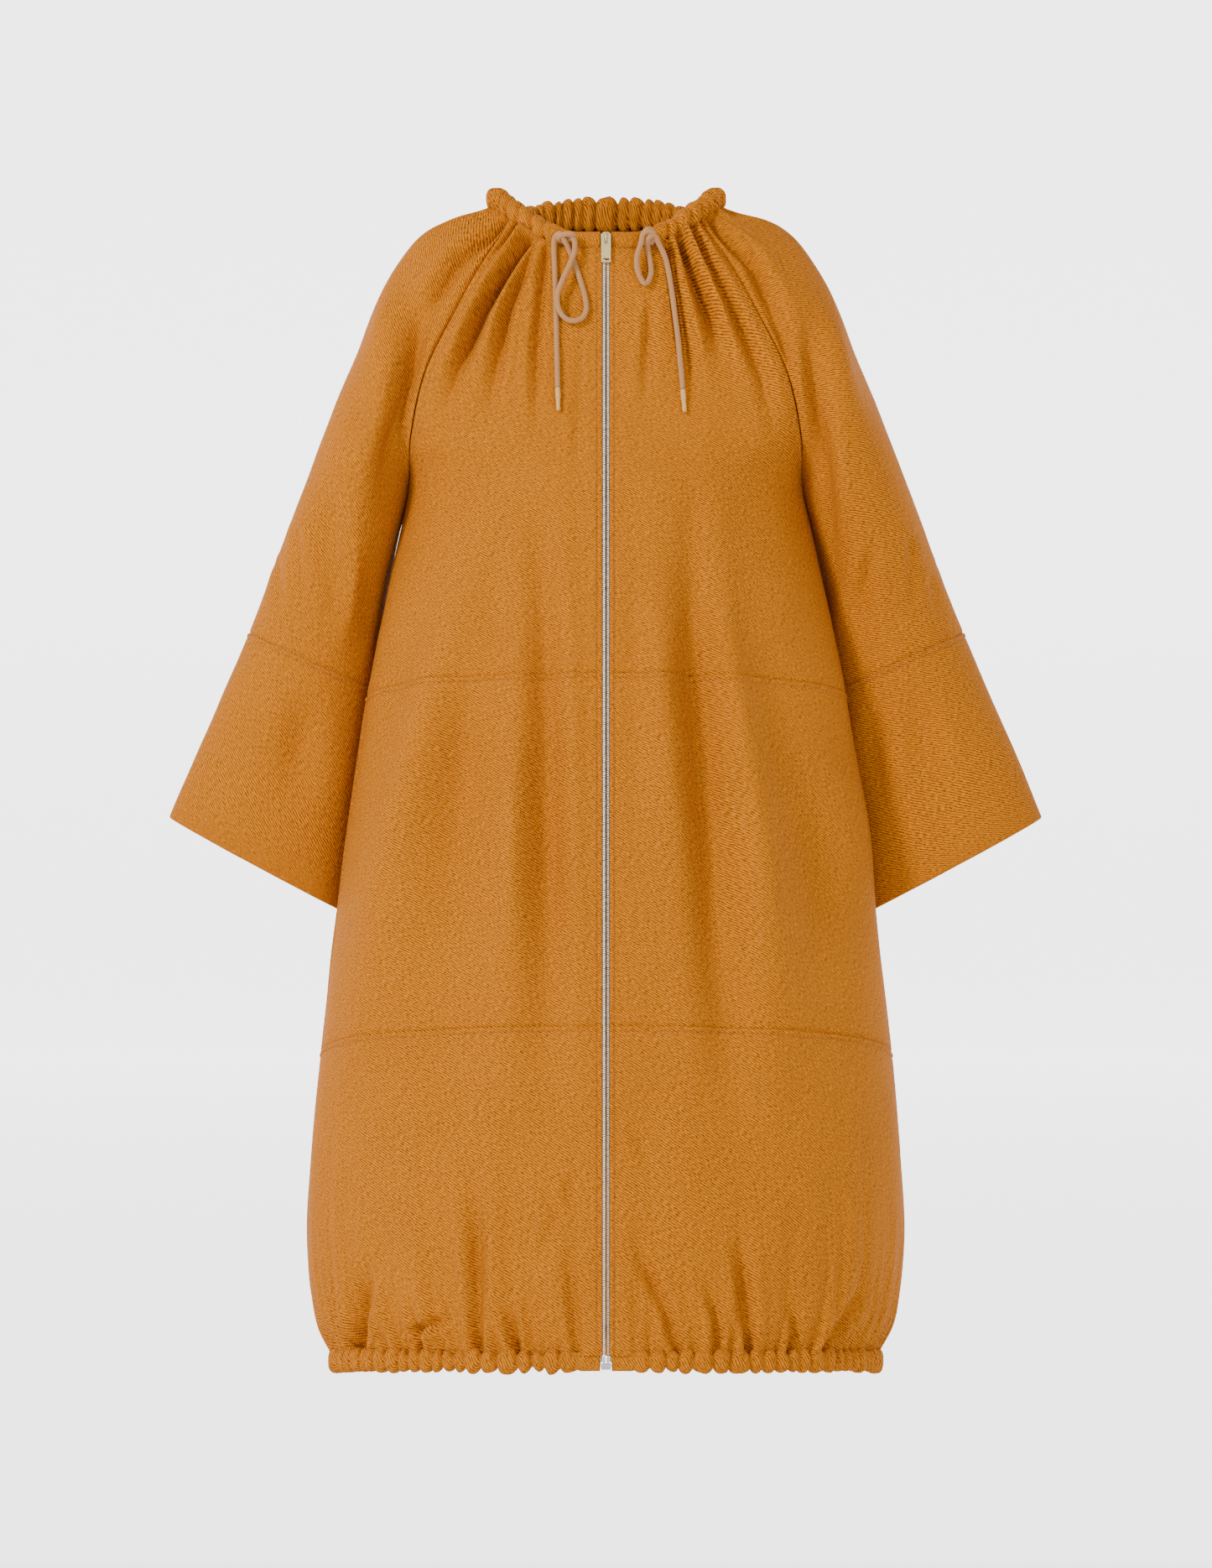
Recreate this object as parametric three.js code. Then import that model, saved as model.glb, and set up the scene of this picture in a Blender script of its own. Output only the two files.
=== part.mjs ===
// Women's midi coat with raglan sleeves, a gathered neck with a drawcord, an elasticated
// balloon hem and a metal zip down the centre front that parts at the hem.
//
// Millimetres, +Z up. The front of the coat faces -Y and the wearer's left sleeve is at +X.
// The origin is the middle of the neck opening at the height where the shoulders carry it.

import * as THREE from 'three';

// ---- Driving dimensions -------------------------------------------------------------

const CLOTH = 1.6;              // thickness of one panel of heavy twill
const SEAM_GAP = 0.35;          // how far each panel stops short of its seam line

const NECK = { halfWidth: 111.5, halfDepth: 78, sideZ: 18, frontZ: -31 };
const RAGLAN_TURN = 55.6;       // degrees round the neck from the centre front to a raglan seam
const HEM_Z = -1100;            // stitch line of the hem casing at the side seam
const HEM_RISE = 22;            // how much higher that line is at the centre front
const CASING = { height: 16, depth: 9, wall: 1.2, edge: 5.4 };
const HEM_CASING = { height: 17, depth: 7, wall: 1.2, edge: 5.4 };
const ELASTIC = { width: 11, thickness: 1.2 };

const ZIP_LEAN = 0.1015;        // radians that the front edge leans forward going down
const ZIP_REACH = 2;            // how far the zip's top stands in front of the neck ring
const ZIP_END_GAP = 1.08;       // from the zip's end down to the hem casing's lower edge
const zipTopZ = NECK.frontZ + CASING.height;
const hemBottomZ = HEM_Z + HEM_RISE - HEM_CASING.height;
const ZIP = {
  top: [0, -NECK.halfDepth - ZIP_REACH, zipTopZ],   // on the outer face of the coat
  length: (zipTopZ - hemBottomZ - ZIP_END_GAP) / Math.cos(ZIP_LEAN),
  lean: ZIP_LEAN,
  clothEdge: 3.7,               // from the centre line to the folded edge of the front
  chainHalf: 2.85,
  slotHalf: 0.6,                // half the slot that the slider's web runs in
  chainFront: CLOTH - 0.7,      // the chain lies on the tape, behind the cloth's outer face
  chainThickness: 2.6,
};
const TAPE = { outer: 15, narrow: 5.1, thickness: 0.6, depth: CLOTH + 0.8,
  wideFrom: CASING.height + 14, wideTo: ZIP.length - 34.5 };
const FACING = { inner: 6.5, outer: 36, thickness: 1, gap: 0.5 };
const STOP_LENGTH = 2;
const PIN_LENGTH = 6;
const BOX = { halfWidth: 4.4, height: 6, front: CLOTH - 1.1, thickness: 3.6 };

const RUN = 0.3;                // running clearance of the zip's metal parts
const SLIDER = { length: 11.3, halfWidth: 4.8, plate: 1.3, webHalf: 0.3 };
const BRIDGE = { halfWidth: 1, height: 2.8, beam: 1, leg: 1.2, start: 0.8, end: 10.3 };
const PULL = { axis: 4.5, lift: 1.1, length: 25.5, halfWidth: 4.6, thickness: 1.2,
  windowHalf: 1.6, windowEnd: 7.5, slotHalf: 3.1, slotStart: 21.6, slotEnd: 23.6 };

const CORD = { diameter: 5.2, sides: 8 };
const TIP_LENGTH = 23;

const raglanX = NECK.halfWidth * Math.sin(RAGLAN_TURN * Math.PI / 180);
const raglanY = -NECK.halfDepth * Math.cos(RAGLAN_TURN * Math.PI / 180);

// Rows of the body, from the neck seam (0) past the underarm (5), the upper tier seam (7)
// and the lower tier seam (10) to the hem stitching (14). Each row gives the side seam's
// x and z, its y, the centre front z, the centre back z and the centre back y.
const UNDERARM = 5, UPPER_SEAM = 7, LOWER_SEAM = 10, HEM = 14;
const BODY_ROWS = [
  { x: raglanX, z: 2, y: raglanY, frontZ: NECK.frontZ, backZ: NECK.sideZ,
    backY: NECK.halfDepth, turn: RAGLAN_TURN },
  { x: 122, z: -45, y: -63, frontZ: -75, backZ: -30, backY: 92, turn: 58 },
  { x: 147, z: -92, y: -70, frontZ: -125, backZ: -85, backY: 103, turn: 62 },
  { x: 174, z: -148, y: -72, frontZ: -175, backZ: -145, backY: 111, turn: 68 },
  { x: 188, z: -208, y: -53, frontZ: -220, backZ: -205, backY: 117, turn: 78 },
  { x: 194, z: -262, y: 12, frontZ: -262, backZ: -262, backY: 121, turn: 90 },
  { x: 215, z: -360, y: 10, frontZ: -350, backZ: -360, backY: 130, turn: 90 },
  { x: 234, z: -459, y: 6, frontZ: -438, backZ: -459, backY: 138, turn: 90 },
  { x: 252, z: -575, y: 3, frontZ: -548, backZ: -575, backY: 146, turn: 90 },
  { x: 266, z: -690, y: 0, frontZ: -660, backZ: -690, backY: 153, turn: 90 },
  { x: 279.5, z: -807, y: 0, frontZ: -772, backZ: -807, backY: 160, turn: 90 },
  { x: 288, z: -905, y: 0, frontZ: -870, backZ: -905, backY: 165, turn: 90 },
  { x: 292, z: -990, y: 0, frontZ: -960, backZ: -990, backY: 168, turn: 90 },
  { x: 285, z: -1055, y: 0, frontZ: -1030, backZ: -1055, backY: 164, turn: 90 },
  { x: 266, z: HEM_Z, y: 0, frontZ: HEM_Z + HEM_RISE, backZ: HEM_Z, backY: 155, turn: 90 },
];

// Rows of the sleeve. Rows 0 to 5 share their seam with the body rows above, where the
// sleeve is still open towards the body. Row 7 is the elbow seam and row 9 is the cuff.
// Each row gives the outer edge, the inner edge, half the front-to-back depth, the middle
// y and the angle from the outer edge to the seam.
const ELBOW = 7, CUFF = 9;
const SLEEVE_ROWS = [
  { ox: NECK.halfWidth, oz: NECK.sideZ, ix: raglanX, iz: 2, depth: NECK.halfDepth, mid: 0,
    turn: 90 - RAGLAN_TURN },
  { ox: 172, oz: -2, ix: 122, iz: -45, depth: 74, mid: 0, turn: 58 },
  { ox: 208, oz: -42, ix: 147, iz: -92, depth: 74, mid: 2, turn: 76 },
  { ox: 236, oz: -100, ix: 174, iz: -148, depth: 76, mid: 4, turn: 95 },
  { ox: 260, oz: -160, ix: 188, iz: -208, depth: 77, mid: 8, turn: 128 },
  { ox: 284, oz: -224, ix: 194, iz: -262, depth: 75, mid: 12, turn: 178.5 },
];
const ARM_ROWS = [
  { ox: 284, oz: -224, ix: 199, iz: -262, depth: 75, mid: 12, turn: 180 },
  { ox: 318, oz: -307, ix: 214, iz: -360, depth: 71, mid: 40, turn: 180 },
  { ox: 353, oz: -395, ix: 224.5, iz: -453, depth: 65, mid: 55, turn: 180 },
  { ox: 392, oz: -486, ix: 240, iz: -562, depth: 58, mid: 55, turn: 180 },
  { ox: 432, oz: -578, ix: 253, iz: -674, depth: 50, mid: 55, turn: 180 },
];

// Routes of the free cord ends, chosen by hand, as x, z and the distance in front of the
// coat's face. Each runs from its buttonhole, round its bow and down its tail.
const CORD_RIGHT_ROUTE = [
  [-41, -25, 3.4], [-38, -20, 6.5], [-33, -20, 9], [-30, -26, 10.5], [-30.5, -36, 11.5],
  [-35.5, -49, 12], [-42, -63, 11.8], [-46.3, -76, 11], [-45.6, -89, 9.6], [-39.5, -98.6, 8],
  [-30.8, -101.6, 6.4], [-22.5, -98, 5.2], [-18.8, -88.5, 4.2], [-21.6, -72, 3.6],
  [-28, -52, 3.5], [-34.6, -34, 4.6], [-39.5, -24, 9.6], [-44, -17.4, 11.6], [-49, -20.5, 9.6],
  [-50, -30, 6], [-49.4, -44, 4], [-48.4, -70, 3.5], [-47.8, -100, 3.4], [-47, -135, 3.4],
  [-46.2, -165, 3.4],
];
const CORD_LEFT_ROUTE = [
  [43, -27, 3.4], [46, -19, 5.6], [41.5, -12.6, 8.6], [36, -17, 10.6], [33.4, -27, 11],
  [29.6, -40, 10], [30.6, -54, 8], [37.4, -65.4, 5.8], [43, -56, 4.4], [42.4, -43, 3.8],
  [40.2, -31, 5], [40.8, -22, 12.4], [46.6, -19.6, 13.6], [51, -27, 11], [56.8, -39.6, 7],
  [60, -53, 4.6], [62.8, -70, 3.8], [66, -94, 3.5], [69.4, -122, 3.4], [72, -150, 3.4],
  [73.4, -166.5, 3.4],
];

const COLOURS = {
  twill: 0xc98b3f, twillInside: 0xb97e38, cord: 0xcfa67e, cordTip: 0xd9b27a, tape: 0xa98f74,
  tooth: 0xc9c9c6, slider: 0xd8c9a0, box: 0xa8a8a4, elastic: 0xe8e4da,
};

// ---- Small helpers ------------------------------------------------------------------

const DEGREE = Math.PI / 180;
const lerp = (a, b, t) => a + (b - a) * t;
const smoothStep = (t) => { const c = Math.min(Math.max(t, 0), 1); return c * c * (3 - 2 * c); };
const steps = (from, to, count) =>
  Array.from({ length: count + 1 }, (_, i) => lerp(from, to, i / count));

// A smooth value between the rows of a table, by Catmull-Rom interpolation of one field.
function between(rows, field, at) {
  const last = rows.length - 1;
  const i = Math.min(Math.floor(Math.max(at, 0)), last - 1);
  const t = at - i;
  const value = (k) => rows[Math.min(Math.max(k, 0), last)][field];
  const [a, b, c, d] = [value(i - 1), value(i), value(i + 1), value(i + 2)];
  return b + 0.5 * t * (c - a + t * (2 * a - 5 * b + 4 * c - d + t * (3 * (b - c) + d - a)));
}

function finish(geometry, colour, roughness = 0.9, metalness = 0) {
  const material = new THREE.MeshStandardMaterial({ color: colour, roughness, metalness });
  material.side = THREE.DoubleSide;
  return new THREE.Mesh(geometry, material);
}

function named(name, mesh, parent) {
  mesh.name = name;
  parent.add(mesh);
  return mesh;
}

// A closed wall between two grids of points, outer[row][column] and inner[row][column].
// The rows run from one open edge to the other; "round" joins the last column to the first.
function wall(outer, inner, round) {
  const rows = outer.length, columns = outer[0].length;
  const points = [...outer.flat(), ...inner.flat()];
  const index = [];
  const at = (side, r, c) => side * rows * columns + r * columns + (c % columns);
  const quad = (a, b, c, d) => index.push(a, b, c, a, c, d);
  const across = round ? columns : columns - 1;
  for (let r = 0; r < rows - 1; r++) {
    for (let c = 0; c < across; c++) {
      quad(at(0, r, c), at(0, r + 1, c), at(0, r + 1, c + 1), at(0, r, c + 1));
      quad(at(1, r, c), at(1, r, c + 1), at(1, r + 1, c + 1), at(1, r + 1, c));
    }
  }
  for (let c = 0; c < across; c++) {
    quad(at(0, 0, c), at(0, 0, c + 1), at(1, 0, c + 1), at(1, 0, c));
    const r = rows - 1;
    quad(at(0, r, c), at(1, r, c), at(1, r, c + 1), at(0, r, c + 1));
  }
  for (let r = 0; r < rows - 1 && !round; r++) {
    quad(at(0, r, 0), at(1, r, 0), at(1, r + 1, 0), at(0, r + 1, 0));
    const c = columns - 1;
    quad(at(0, r, c), at(0, r + 1, c), at(1, r + 1, c), at(1, r, c));
  }
  const geometry = new THREE.BufferGeometry();
  geometry.setAttribute('position', new THREE.Float32BufferAttribute(points.flat(), 3));
  geometry.setIndex(signedVolume(points, index) > 0 ? index : index.reverse());
  return geometry;
}

// Six times the volume that the faces close off; below zero when they point inwards.
function signedVolume(points, index) {
  let total = 0;
  for (let i = 0; i < index.length; i += 3) {
    const [a, b, c] = [0, 1, 2].map((k) => new THREE.Vector3(...points[index[i + k]]));
    total += a.dot(b.cross(c));
  }
  return total;
}

// ---- The surface of the coat --------------------------------------------------------

const centreFrontY = (z) => ZIP.top[1] + Math.tan(ZIP.lean) * (z - ZIP.top[2]);

// A point of the sleeve at row s, at a turn from -1 (front seam) over 0 (outer edge) to 1
// (back seam), on the wearer's left.
function sleevePoint(rows, first, s, turn) {
  const f = (field) => between(rows, field, s - first);
  const seam = f('turn') * DEGREE;
  const angle = seam * turn;
  const reach = (1 - Math.cos(angle)) / (1 - Math.cos(seam));
  const x = lerp(f('ox'), f('ix'), reach);
  const z = lerp(f('oz'), f('iz'), reach);
  return [x, f('mid') + f('depth') * Math.sin(angle), z];
}

// The edge that a body panel shares with the sleeve or, below the underarm, with the
// panel on the coat's other face. "side" is -1 for the front and 1 for the back.
function bodyEdge(row, side) {
  if (row <= UNDERARM) return sleevePoint(SLEEVE_ROWS, 0, row, side);
  const f = (field) => between(BODY_ROWS, field, row);
  const [x, y, z] = sleevePoint(SLEEVE_ROWS, 0, UNDERARM, side);
  const settle = smoothStep((row - UNDERARM) * 3);
  return [
    lerp(x, f('x'), settle) + (1 - settle) * (f('x') - BODY_ROWS[UNDERARM].x),
    lerp(y, f('y') + side * SEAM_GAP, settle),
    lerp(z + f('z') - BODY_ROWS[UNDERARM].z, f('z'), settle),
  ];
}

// A point of the body at a row, at "across" from 0 (centre) to 1 (seam), on the wearer's
// left. The curve is a stretch of an ellipse that meets the centre square to it.
function bodyPoint(row, across, side) {
  const [edgeX, edgeY, edgeZ] = bodyEdge(row, side);
  const turn = between(BODY_ROWS, 'turn', row) * DEGREE;
  const centreZ = between(BODY_ROWS, side < 0 ? 'frontZ' : 'backZ', row);
  const centreY = side < 0 ? centreFrontY(centreZ) : between(BODY_ROWS, 'backY', row);
  const x = edgeX * Math.sin(across * turn) / Math.sin(turn);
  const y = lerp(centreY, edgeY, (1 - Math.cos(across * turn)) / (1 - Math.cos(turn)));
  const lift = lerp(smoothStep(across * 0.93 - 0.2) / smoothStep(0.73), across * across,
    Math.min(row / 3, 1));
  return [x, y, lerp(centreZ, edgeZ, lift)];
}

function acrossAt(row, x, side) {
  const turn = between(BODY_ROWS, 'turn', row) * DEGREE;
  return Math.asin(x * Math.sin(turn) / bodyEdge(row, side)[0]) / turn;
}

// The point moved inwards by a depth, square to the surface that "point" describes.
function inwards(point, u, v, depth, uStep, vStep) {
  const p = (a, b) => new THREE.Vector3(...point(a, b));
  const here = p(u, v);
  const alongU = p(u + uStep, v).sub(p(u - uStep, v));
  const alongV = p(u, v + vStep).sub(p(u, v - vStep));
  const normal = alongV.cross(alongU).normalize();
  return here.addScaledVector(normal, depth).toArray();
}

const mirrored = ([x, y, z]) => [-x, y, z];
const mirrorGrid = (grid) => grid.map((row) => row.map(mirrored));

// ---- Body panels --------------------------------------------------------------------

const ROW_TRIM = 0.0075;        // about one seam gap, as a part of a body row
const edgeTrim = (row, side) => 1 - SEAM_GAP / bodyEdge(row, side)[0];

function bodyGrid(rows, side, depth, columns) {
  const point = (u, v) => bodyPoint(v, u, side);
  return rows.map((row) => columns(row).map((u) => {
    if (depth === 0) return point(u, row);
    return inwards(point, u, row, side * depth, 0.004, 0.01);
  }));
}

function frontPanel(from, to, rowCount, isLeft) {
  const rows = steps(from + ROW_TRIM, to - ROW_TRIM, rowCount);
  const grid = (depth) => bodyGrid(rows, -1, depth, (row) => [
    ...[ZIP.clothEdge, TAPE.outer].map((x) => acrossAt(row, x, -1)),
    ...steps(acrossAt(row, FACING.outer, -1), edgeTrim(row, -1), 7)]);
  const outer = grid(0), inner = grid(CLOTH);
  return isLeft ? wall(outer, inner, false) : wall(mirrorGrid(outer), mirrorGrid(inner), false);
}

function backPanel(from, to, rowCount) {
  const rows = steps(from + ROW_TRIM, to - ROW_TRIM, rowCount);
  const half = (depth) => bodyGrid(rows, 1, depth, (row) => steps(0, edgeTrim(row, 1), 8));
  const whole = (depth) => half(depth).map((row) =>
    [...row.slice(1).map(mirrored).reverse(), ...row]);
  return wall(whole(0), whole(CLOTH), false);
}

// ---- Sleeves ------------------------------------------------------------------------

function sleeveWall(rows, first, from, to, rowCount, columns, isLeft) {
  const round = from >= UNDERARM;
  const trim = round ? 1 : 1 - SEAM_GAP / 125;
  const point = (u, v) => sleevePoint(rows, first, v, u);
  const lines = steps(from + ROW_TRIM, to - ROW_TRIM, rowCount);
  const turns = steps(-trim, trim, columns).slice(0, round ? columns : columns + 1);
  const grid = (depth) => lines.map((row) => turns.map((u) => {
    if (depth === 0) return point(u, row);
    return inwards(point, u, row, -depth, 0.004, 0.01);
  }));
  const outer = grid(0), inner = grid(CLOTH);
  return isLeft ? wall(outer, inner, round) : wall(mirrorGrid(outer), mirrorGrid(inner), round);
}

// ---- Casings at the neck and hem ----------------------------------------------------

// The line round the coat at the neck seam or the hem, from the left front edge round the
// back to the right front edge, as points with their outward directions.
function ringLine(row, edge) {
  const half = [];
  for (const u of steps(acrossAt(row, edge, -1), 1, 6)) half.push(bodyPoint(row, u, -1));
  if (row === 0) {
    for (const turn of steps(-1, 1, 8).slice(1)) half.push(sleevePoint(SLEEVE_ROWS, 0, 0, turn));
  }
  for (const u of steps(1, 0, 7).slice(1)) half.push(bodyPoint(row, u, 1));
  const points = [...half, ...half.slice(0, -1).reverse().map(mirrored)];
  return points.map((p, i) => {
    const a = points[Math.max(i - 1, 0)], b = points[Math.min(i + 1, points.length - 1)];
    const length = Math.hypot(b[0] - a[0], b[1] - a[1]);
    return { p, out: [(b[1] - a[1]) / length, -(b[0] - a[0]) / length] };
  });
}

// A point beside the ring line: "into" runs towards the middle of the coat, "up" is +Z.
const beside = ({ p, out }, into, up) => [p[0] - out[0] * into, p[1] - out[1] * into, p[2] + up];

// The corners of a casing's section, or of the channel in it, with its corners cut.
function sectionCorners(depth, height, inset) {
  const cut = 1.2;
  const [a, b, c, d] = [inset, depth - inset, inset, height - inset];
  return [[a + cut, c], [b - cut, c], [b, c + cut], [b, d - cut],
    [b - cut, d], [a + cut, d], [a, d - cut], [a, c + cut]];
}

function casing(line, size, upward) {
  const ring = (inset) => line.map((place) => sectionCorners(size.depth, size.height, inset)
    .map(([into, up]) => beside(place, into, upward * (up + SEAM_GAP))));
  return wall(ring(0), ring(size.wall), true);
}

// ---- Soft pieces inside the casings -------------------------------------------------

function hemElastic(line) {
  const middle = SEAM_GAP + HEM_CASING.height / 2, into = HEM_CASING.depth / 2;
  const band = (offset) => [-1, 1].map((end) => line.map((place) =>
    beside(place, into + offset, -middle + end * ELASTIC.width / 2)));
  return wall(band(-ELASTIC.thickness / 2), band(ELASTIC.thickness / 2), false);
}

function cordTube(points, sides, stepCount) {
  const path = new THREE.CatmullRomCurve3(points.map((p) => new THREE.Vector3(...p)));
  const section = new THREE.Shape();
  for (let i = 0; i < sides; i++) {
    const angle = 2 * Math.PI * i / sides;
    const corner = [Math.cos(angle) * CORD.diameter / 2, Math.sin(angle) * CORD.diameter / 2];
    if (i === 0) section.moveTo(...corner);
    else section.lineTo(...corner);
  }
  section.closePath();
  return new THREE.ExtrudeGeometry(section, { steps: stepCount, extrudePath: path,
    bevelEnabled: false });
}

function casedDrawcord(line) {
  const inside = line.filter(({ p }) => p[1] > 0 || Math.abs(p[0]) > CORD_LEFT_ROUTE[0][0]);
  const points = inside.map((place) =>
    beside(place, CASING.depth / 2, SEAM_GAP + CASING.height / 2));
  return cordTube(points, CORD.sides, 36);
}

// The front face's y at a place on it, by halving the stretch of rows that holds the place.
function frontFaceY(x, z) {
  const at = (row) => bodyPoint(row, acrossAt(row, Math.abs(x), -1), -1);
  let [above, below] = [0, UNDERARM];
  for (let i = 0; i < 20; i++) {
    const middle = (above + below) / 2;
    if (at(middle)[2] > z) above = middle;
    else below = middle;
  }
  return at(above)[1];
}

const cordPoints = (route) => route.map(([x, z, out]) => [x, frontFaceY(x, z) - out, z]);

function cordTip(route) {
  const end = cordPoints(route.slice(-2)).map((p) => new THREE.Vector3(...p));
  const along = end[1].clone().sub(end[0]).normalize();
  const r = CORD.diameter / 2;
  const profile = [[0, 0], [r, 0], [r, TIP_LENGTH * 0.42], [r * 0.82, TIP_LENGTH * 0.5],
    [r * 0.82, TIP_LENGTH - 1], [r * 0.6, TIP_LENGTH], [0, TIP_LENGTH]];
  const geometry = new THREE.LatheGeometry(profile.map((p) => new THREE.Vector2(...p)), 10);
  const turn = new THREE.Quaternion().setFromUnitVectors(new THREE.Vector3(0, 1, 0), along);
  geometry.applyQuaternion(turn);
  geometry.translate(...end[1].addScaledVector(along, RUN).toArray());
  return geometry;
}

// ---- Zip ----------------------------------------------------------------------------

// Zip parts are drawn in the zip's own frame: x across, y into the coat, z down the zip as
// negative numbers. The group turns that frame onto the leaning front edge.
function block(x0, x1, y0, y1, down0, down1) {
  const geometry = new THREE.BoxGeometry(x1 - x0, y1 - y0, down1 - down0);
  geometry.translate((x0 + x1) / 2, (y0 + y1) / 2, -(down0 + down1) / 2);
  return geometry;
}

function outline(corners) {
  const shape = new THREE.Shape();
  shape.moveTo(...corners[0]);
  for (const corner of corners.slice(1)) shape.lineTo(...corner);
  shape.closePath();
  return shape;
}

const chainBack = ZIP.chainFront + ZIP.chainThickness;
const pinsStart = ZIP.length - BOX.height - RUN - PIN_LENGTH;
const boxStart = ZIP.length - BOX.height;

// The tape lies flat behind the front edges, and is narrow where it runs through a casing.
function zipTape(sign) {
  const inner = ZIP.chainHalf + RUN;
  const geometry = new THREE.ExtrudeGeometry(outline([[inner, -1], [inner, 1 - boxStart],
    [TAPE.narrow, 1 - boxStart], [TAPE.narrow, -TAPE.wideTo - 2], [TAPE.outer, -TAPE.wideTo],
    [TAPE.outer, -TAPE.wideFrom], [TAPE.narrow, 2 - TAPE.wideFrom], [TAPE.narrow, -1]]
    .map(([x, down]) => [sign * x, down])), { depth: TAPE.thickness, bevelEnabled: false });
  geometry.rotateX(Math.PI / 2);
  geometry.translate(0, TAPE.depth + TAPE.thickness, 0);
  return geometry;
}

// The facing covers the back of the tape and is sewn on with it.
function frontFacing(isLeft) {
  const rows = steps(0.4, HEM - 0.4, 20);
  const front = TAPE.depth + TAPE.thickness + FACING.gap;
  const grid = (depth) => bodyGrid(rows, -1, depth, (row) =>
    [FACING.inner, TAPE.outer, FACING.outer].map((x) => acrossAt(row, x, -1)));
  const outer = grid(front), inner = grid(front + FACING.thickness);
  return isLeft ? wall(outer, inner, false) : wall(mirrorGrid(outer), mirrorGrid(inner), false);
}

function sliderBody() {
  const { halfWidth: w, plate, webHalf } = SLIDER;
  const [front, frontBack] = [-RUN - plate, -RUN];
  const [back, backBack] = [chainBack + RUN, chainBack + RUN + plate];
  const shape = outline([[-w, front], [w, front], [w, frontBack], [webHalf, frontBack],
    [webHalf, back], [w - 0.2, back], [w - 0.2, backBack], [-w + 0.2, backBack],
    [-w + 0.2, back], [-webHalf, back], [-webHalf, frontBack], [-w, frontBack]]);
  const geometry = new THREE.ExtrudeGeometry(shape, { depth: SLIDER.length, bevelEnabled: false });
  geometry.translate(0, 0, -SLIDER.length);
  return geometry;
}

function sliderBridge() {
  const face = -RUN - SLIDER.plate - RUN;
  const { height, beam, leg, start, end, halfWidth } = BRIDGE;
  const shape = outline([[face, start], [face - height, start], [face - height, end],
    [face, end], [face, end - leg], [face - height + beam, end - leg],
    [face - height + beam, start + leg], [face, start + leg]]);
  const geometry = new THREE.ExtrudeGeometry(shape, { depth: 2 * halfWidth, bevelEnabled: false });
  geometry.applyMatrix4(new THREE.Matrix4().set(
    0, 0, -1, halfWidth, 1, 0, 0, 0, 0, -1, 0, 0, 0, 0, 0, 1));
  return geometry;
}

function pullTab() {
  const { halfWidth: w, length, thickness, windowHalf, windowEnd } = PULL;
  const bar = thickness / 2, corner = 1.2;
  const shape = outline([[-w + 0.6, bar], [w - 0.6, bar], [w, bar - 0.6], [w, -length + corner],
    [w - corner, -length], [-w + corner, -length], [-w, -length + corner], [-w, bar - 0.6]]);
  const hole = (x, from, to) => {
    const path = new THREE.Path();
    path.moveTo(-x, -from);
    path.lineTo(-x, -to);
    path.lineTo(x, -to);
    path.lineTo(x, -from);
    path.closePath();
    return path;
  };
  shape.holes.push(hole(windowHalf, bar, windowEnd));
  shape.holes.push(hole(PULL.slotHalf, PULL.slotStart, PULL.slotEnd));
  const geometry = new THREE.ExtrudeGeometry(shape, { depth: thickness, bevelEnabled: false });
  geometry.rotateX(Math.PI / 2);
  geometry.translate(0, thickness / 2, 0);
  // The outline's second coordinate now runs along z, and the thickness along y.
  const axisY = -RUN - SLIDER.plate - PULL.lift;
  geometry.translate(0, axisY, -PULL.axis);
  return geometry;
}

// ---- Assembly -----------------------------------------------------------------------

const coat = new THREE.Group();

for (const [side, isLeft] of [['left', true], ['right', false]]) {
  named(`front_upper_${side}`, finish(frontPanel(0, UPPER_SEAM, 10, isLeft), COLOURS.twill), coat);
  named(`front_middle_${side}`,
    finish(frontPanel(UPPER_SEAM, LOWER_SEAM, 4, isLeft), COLOURS.twill), coat);
  named(`front_lower_${side}`, finish(frontPanel(LOWER_SEAM, HEM, 6, isLeft), COLOURS.twill), coat);
  named(`sleeve_shoulder_${side}`, finish(
    sleeveWall(SLEEVE_ROWS, 0, 0, UNDERARM, 8, 12, isLeft), COLOURS.twill), coat);
  named(`sleeve_upper_${side}`, finish(
    sleeveWall(ARM_ROWS, UNDERARM, UNDERARM, ELBOW, 4, 16, isLeft), COLOURS.twill), coat);
  named(`sleeve_lower_${side}`, finish(
    sleeveWall(ARM_ROWS, UNDERARM, ELBOW, CUFF, 3, 16, isLeft), COLOURS.twill), coat);
}
named('back_upper', finish(backPanel(0, UPPER_SEAM, 10), COLOURS.twill), coat);
named('back_middle', finish(backPanel(UPPER_SEAM, LOWER_SEAM, 4), COLOURS.twill), coat);
named('back_lower', finish(backPanel(LOWER_SEAM, HEM, 6), COLOURS.twill), coat);

const neckLine = ringLine(0, CASING.edge);
const hemLine = ringLine(HEM, HEM_CASING.edge);
named('neck_casing', finish(casing(neckLine, CASING, 1), COLOURS.twill), coat);
named('hem_casing', finish(casing(hemLine, HEM_CASING, -1), COLOURS.twill), coat);
named('hem_elastic', finish(hemElastic(hemLine), COLOURS.elastic), coat);
named('drawcord_in_casing', finish(casedDrawcord(neckLine), COLOURS.cord), coat);

for (const [side, route] of [['left', CORD_LEFT_ROUTE], ['right', CORD_RIGHT_ROUTE]]) {
  named(`cord_${side}`, finish(cordTube(cordPoints(route), CORD.sides, 60), COLOURS.cord), coat);
  named(`cord_tip_${side}`, finish(cordTip(route), COLOURS.cordTip, 0.5), coat);
}

for (const [side, isLeft] of [['left', true], ['right', false]]) {
  named(`front_facing_${side}`, finish(frontFacing(isLeft), COLOURS.twillInside), coat);
}

const zip = new THREE.Group();
zip.position.set(...ZIP.top);
zip.rotation.x = -ZIP.lean;
coat.add(zip);

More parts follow.
